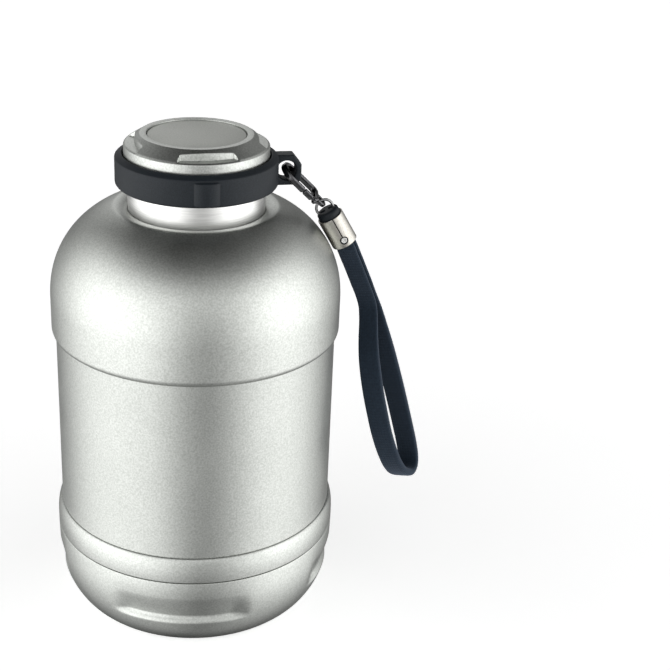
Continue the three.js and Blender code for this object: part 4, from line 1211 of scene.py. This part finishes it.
def calculation(nodes, links, operation, first, second):
    """The output of a math node. Each input is a socket to link or a plain number."""
    node = nodes.new("ShaderNodeMath")
    node.operation = operation
    for value, socket in ((first, node.inputs[0]), (second, node.inputs[1])):
        if isinstance(value, (int, float)):
            socket.default_value = value
        else:
            links.new(value, socket)
    return node.outputs["Value"]


def tone_curve(nodes, links, value, low, high, stops):
    """Looks a value up in a list of stops, each with its place from low to high and a grey."""
    spread_out = nodes.new("ShaderNodeMapRange")
    spread_out.inputs["From Min"].default_value = low
    spread_out.inputs["From Max"].default_value = high
    links.new(value, spread_out.inputs["Value"])
    curve = nodes.new("ShaderNodeValToRGB")
    curve.color_ramp.interpolation = "B_SPLINE"
    tones = curve.color_ramp.elements
    tones.remove(tones[0])
    for i, (place_at, grey) in enumerate(stops):
        position = (place_at - low) / (high - low)
        tone = tones.new(position) if i else tones[0]
        tone.position = position
        tone.color = (grey, grey, grey, 1)
    links.new(spread_out.outputs["Result"], curve.inputs["Fac"])
    return curve.outputs["Color"]


def glow(nodes, links, ray, facing, strength, tightness):
    """A brightness that is greatest where ray points along facing, and falls off smoothly."""
    dot = nodes.new("ShaderNodeVectorMath")
    dot.operation = "DOT_PRODUCT"
    dot.inputs[1].default_value = facing
    links.new(ray, dot.inputs[0])
    ahead = calculation(nodes, links, "MAXIMUM", dot.outputs["Value"], 0)
    gathered = calculation(nodes, links, "POWER", ahead, tightness)
    return calculation(nodes, links, "MULTIPLY", gathered, strength)


def make_world():
    """Dim ahead, dark overhead, and bright at both sides, as between two tall soft boxes."""
    world = bpy.data.worlds.new("studio")
    bpy.context.scene.world = world
    world.use_nodes = True
    nodes, links = world.node_tree.nodes, world.node_tree.links
    ray = nodes.new("ShaderNodeTexCoord").outputs["Generated"]
    split = nodes.new("ShaderNodeSeparateXYZ")
    links.new(ray, split.inputs["Vector"])
    ahead = calculation(nodes, links, "MULTIPLY", split.outputs["Y"], -1)
    azimuth = calculation(nodes, links, "ARCTAN2", split.outputs["X"], ahead)
    half_turn = math.pi
    stops = [(math.radians(place_at), grey) for place_at, grey in WORLD_ROUND]
    around = tone_curve(nodes, links, azimuth, -half_turn, half_turn, stops)
    rise = tone_curve(nodes, links, split.outputs["Z"], -1, 1, WORLD_RISE)
    total = calculation(nodes, links, "MULTIPLY", around, rise)
    for turn, lift, strength, tightness in WORLD_GLOWS:
        lamp = glow(nodes, links, ray, direction(turn, lift), strength, tightness)
        total = calculation(nodes, links, "ADD", total, lamp)
    links.new(total, nodes["Background"].inputs["Color"])
    nodes["Background"].inputs["Strength"].default_value = WORLD_STRENGTH


def soft_light(name, azimuth, distance, height, width, tall, power):
    """A soft panel that faces the jug. Azimuth is from -Y towards +X, in degrees."""
    data = bpy.data.lights.new(name, "AREA")
    data.shape = "RECTANGLE"
    data.size = width
    data.size_y = tall
    data.energy = power
    light = bpy.data.objects.new(name, data)
    bpy.context.scene.collection.objects.link(light)
    turn = math.radians(azimuth)
    light.location = (distance * math.sin(turn), -distance * math.cos(turn), height)
    towards = Vector((0, 0, 0.12)) - light.location
    light.rotation_euler = towards.to_track_quat("-Z", "Y").to_euler()


def make_lights():
    soft_light("left_panel", -74, 0.85, 0.26, 0.4, 0.52, PANEL_POWER)
    soft_light("right_panel", 56, 0.9, 0.26, 0.36, 0.52, PANEL_POWER)


bpy.context.scene.view_settings.view_transform = "Standard"
make_camera()
make_strap()
make_outer_shell()
make_base()
make_neck()
make_liner()
make_lid()
make_ring()
make_clasp()
make_jump_ring()
make_ferrule()
dress_cad_nodes()
make_floor()
make_world()
make_lights()
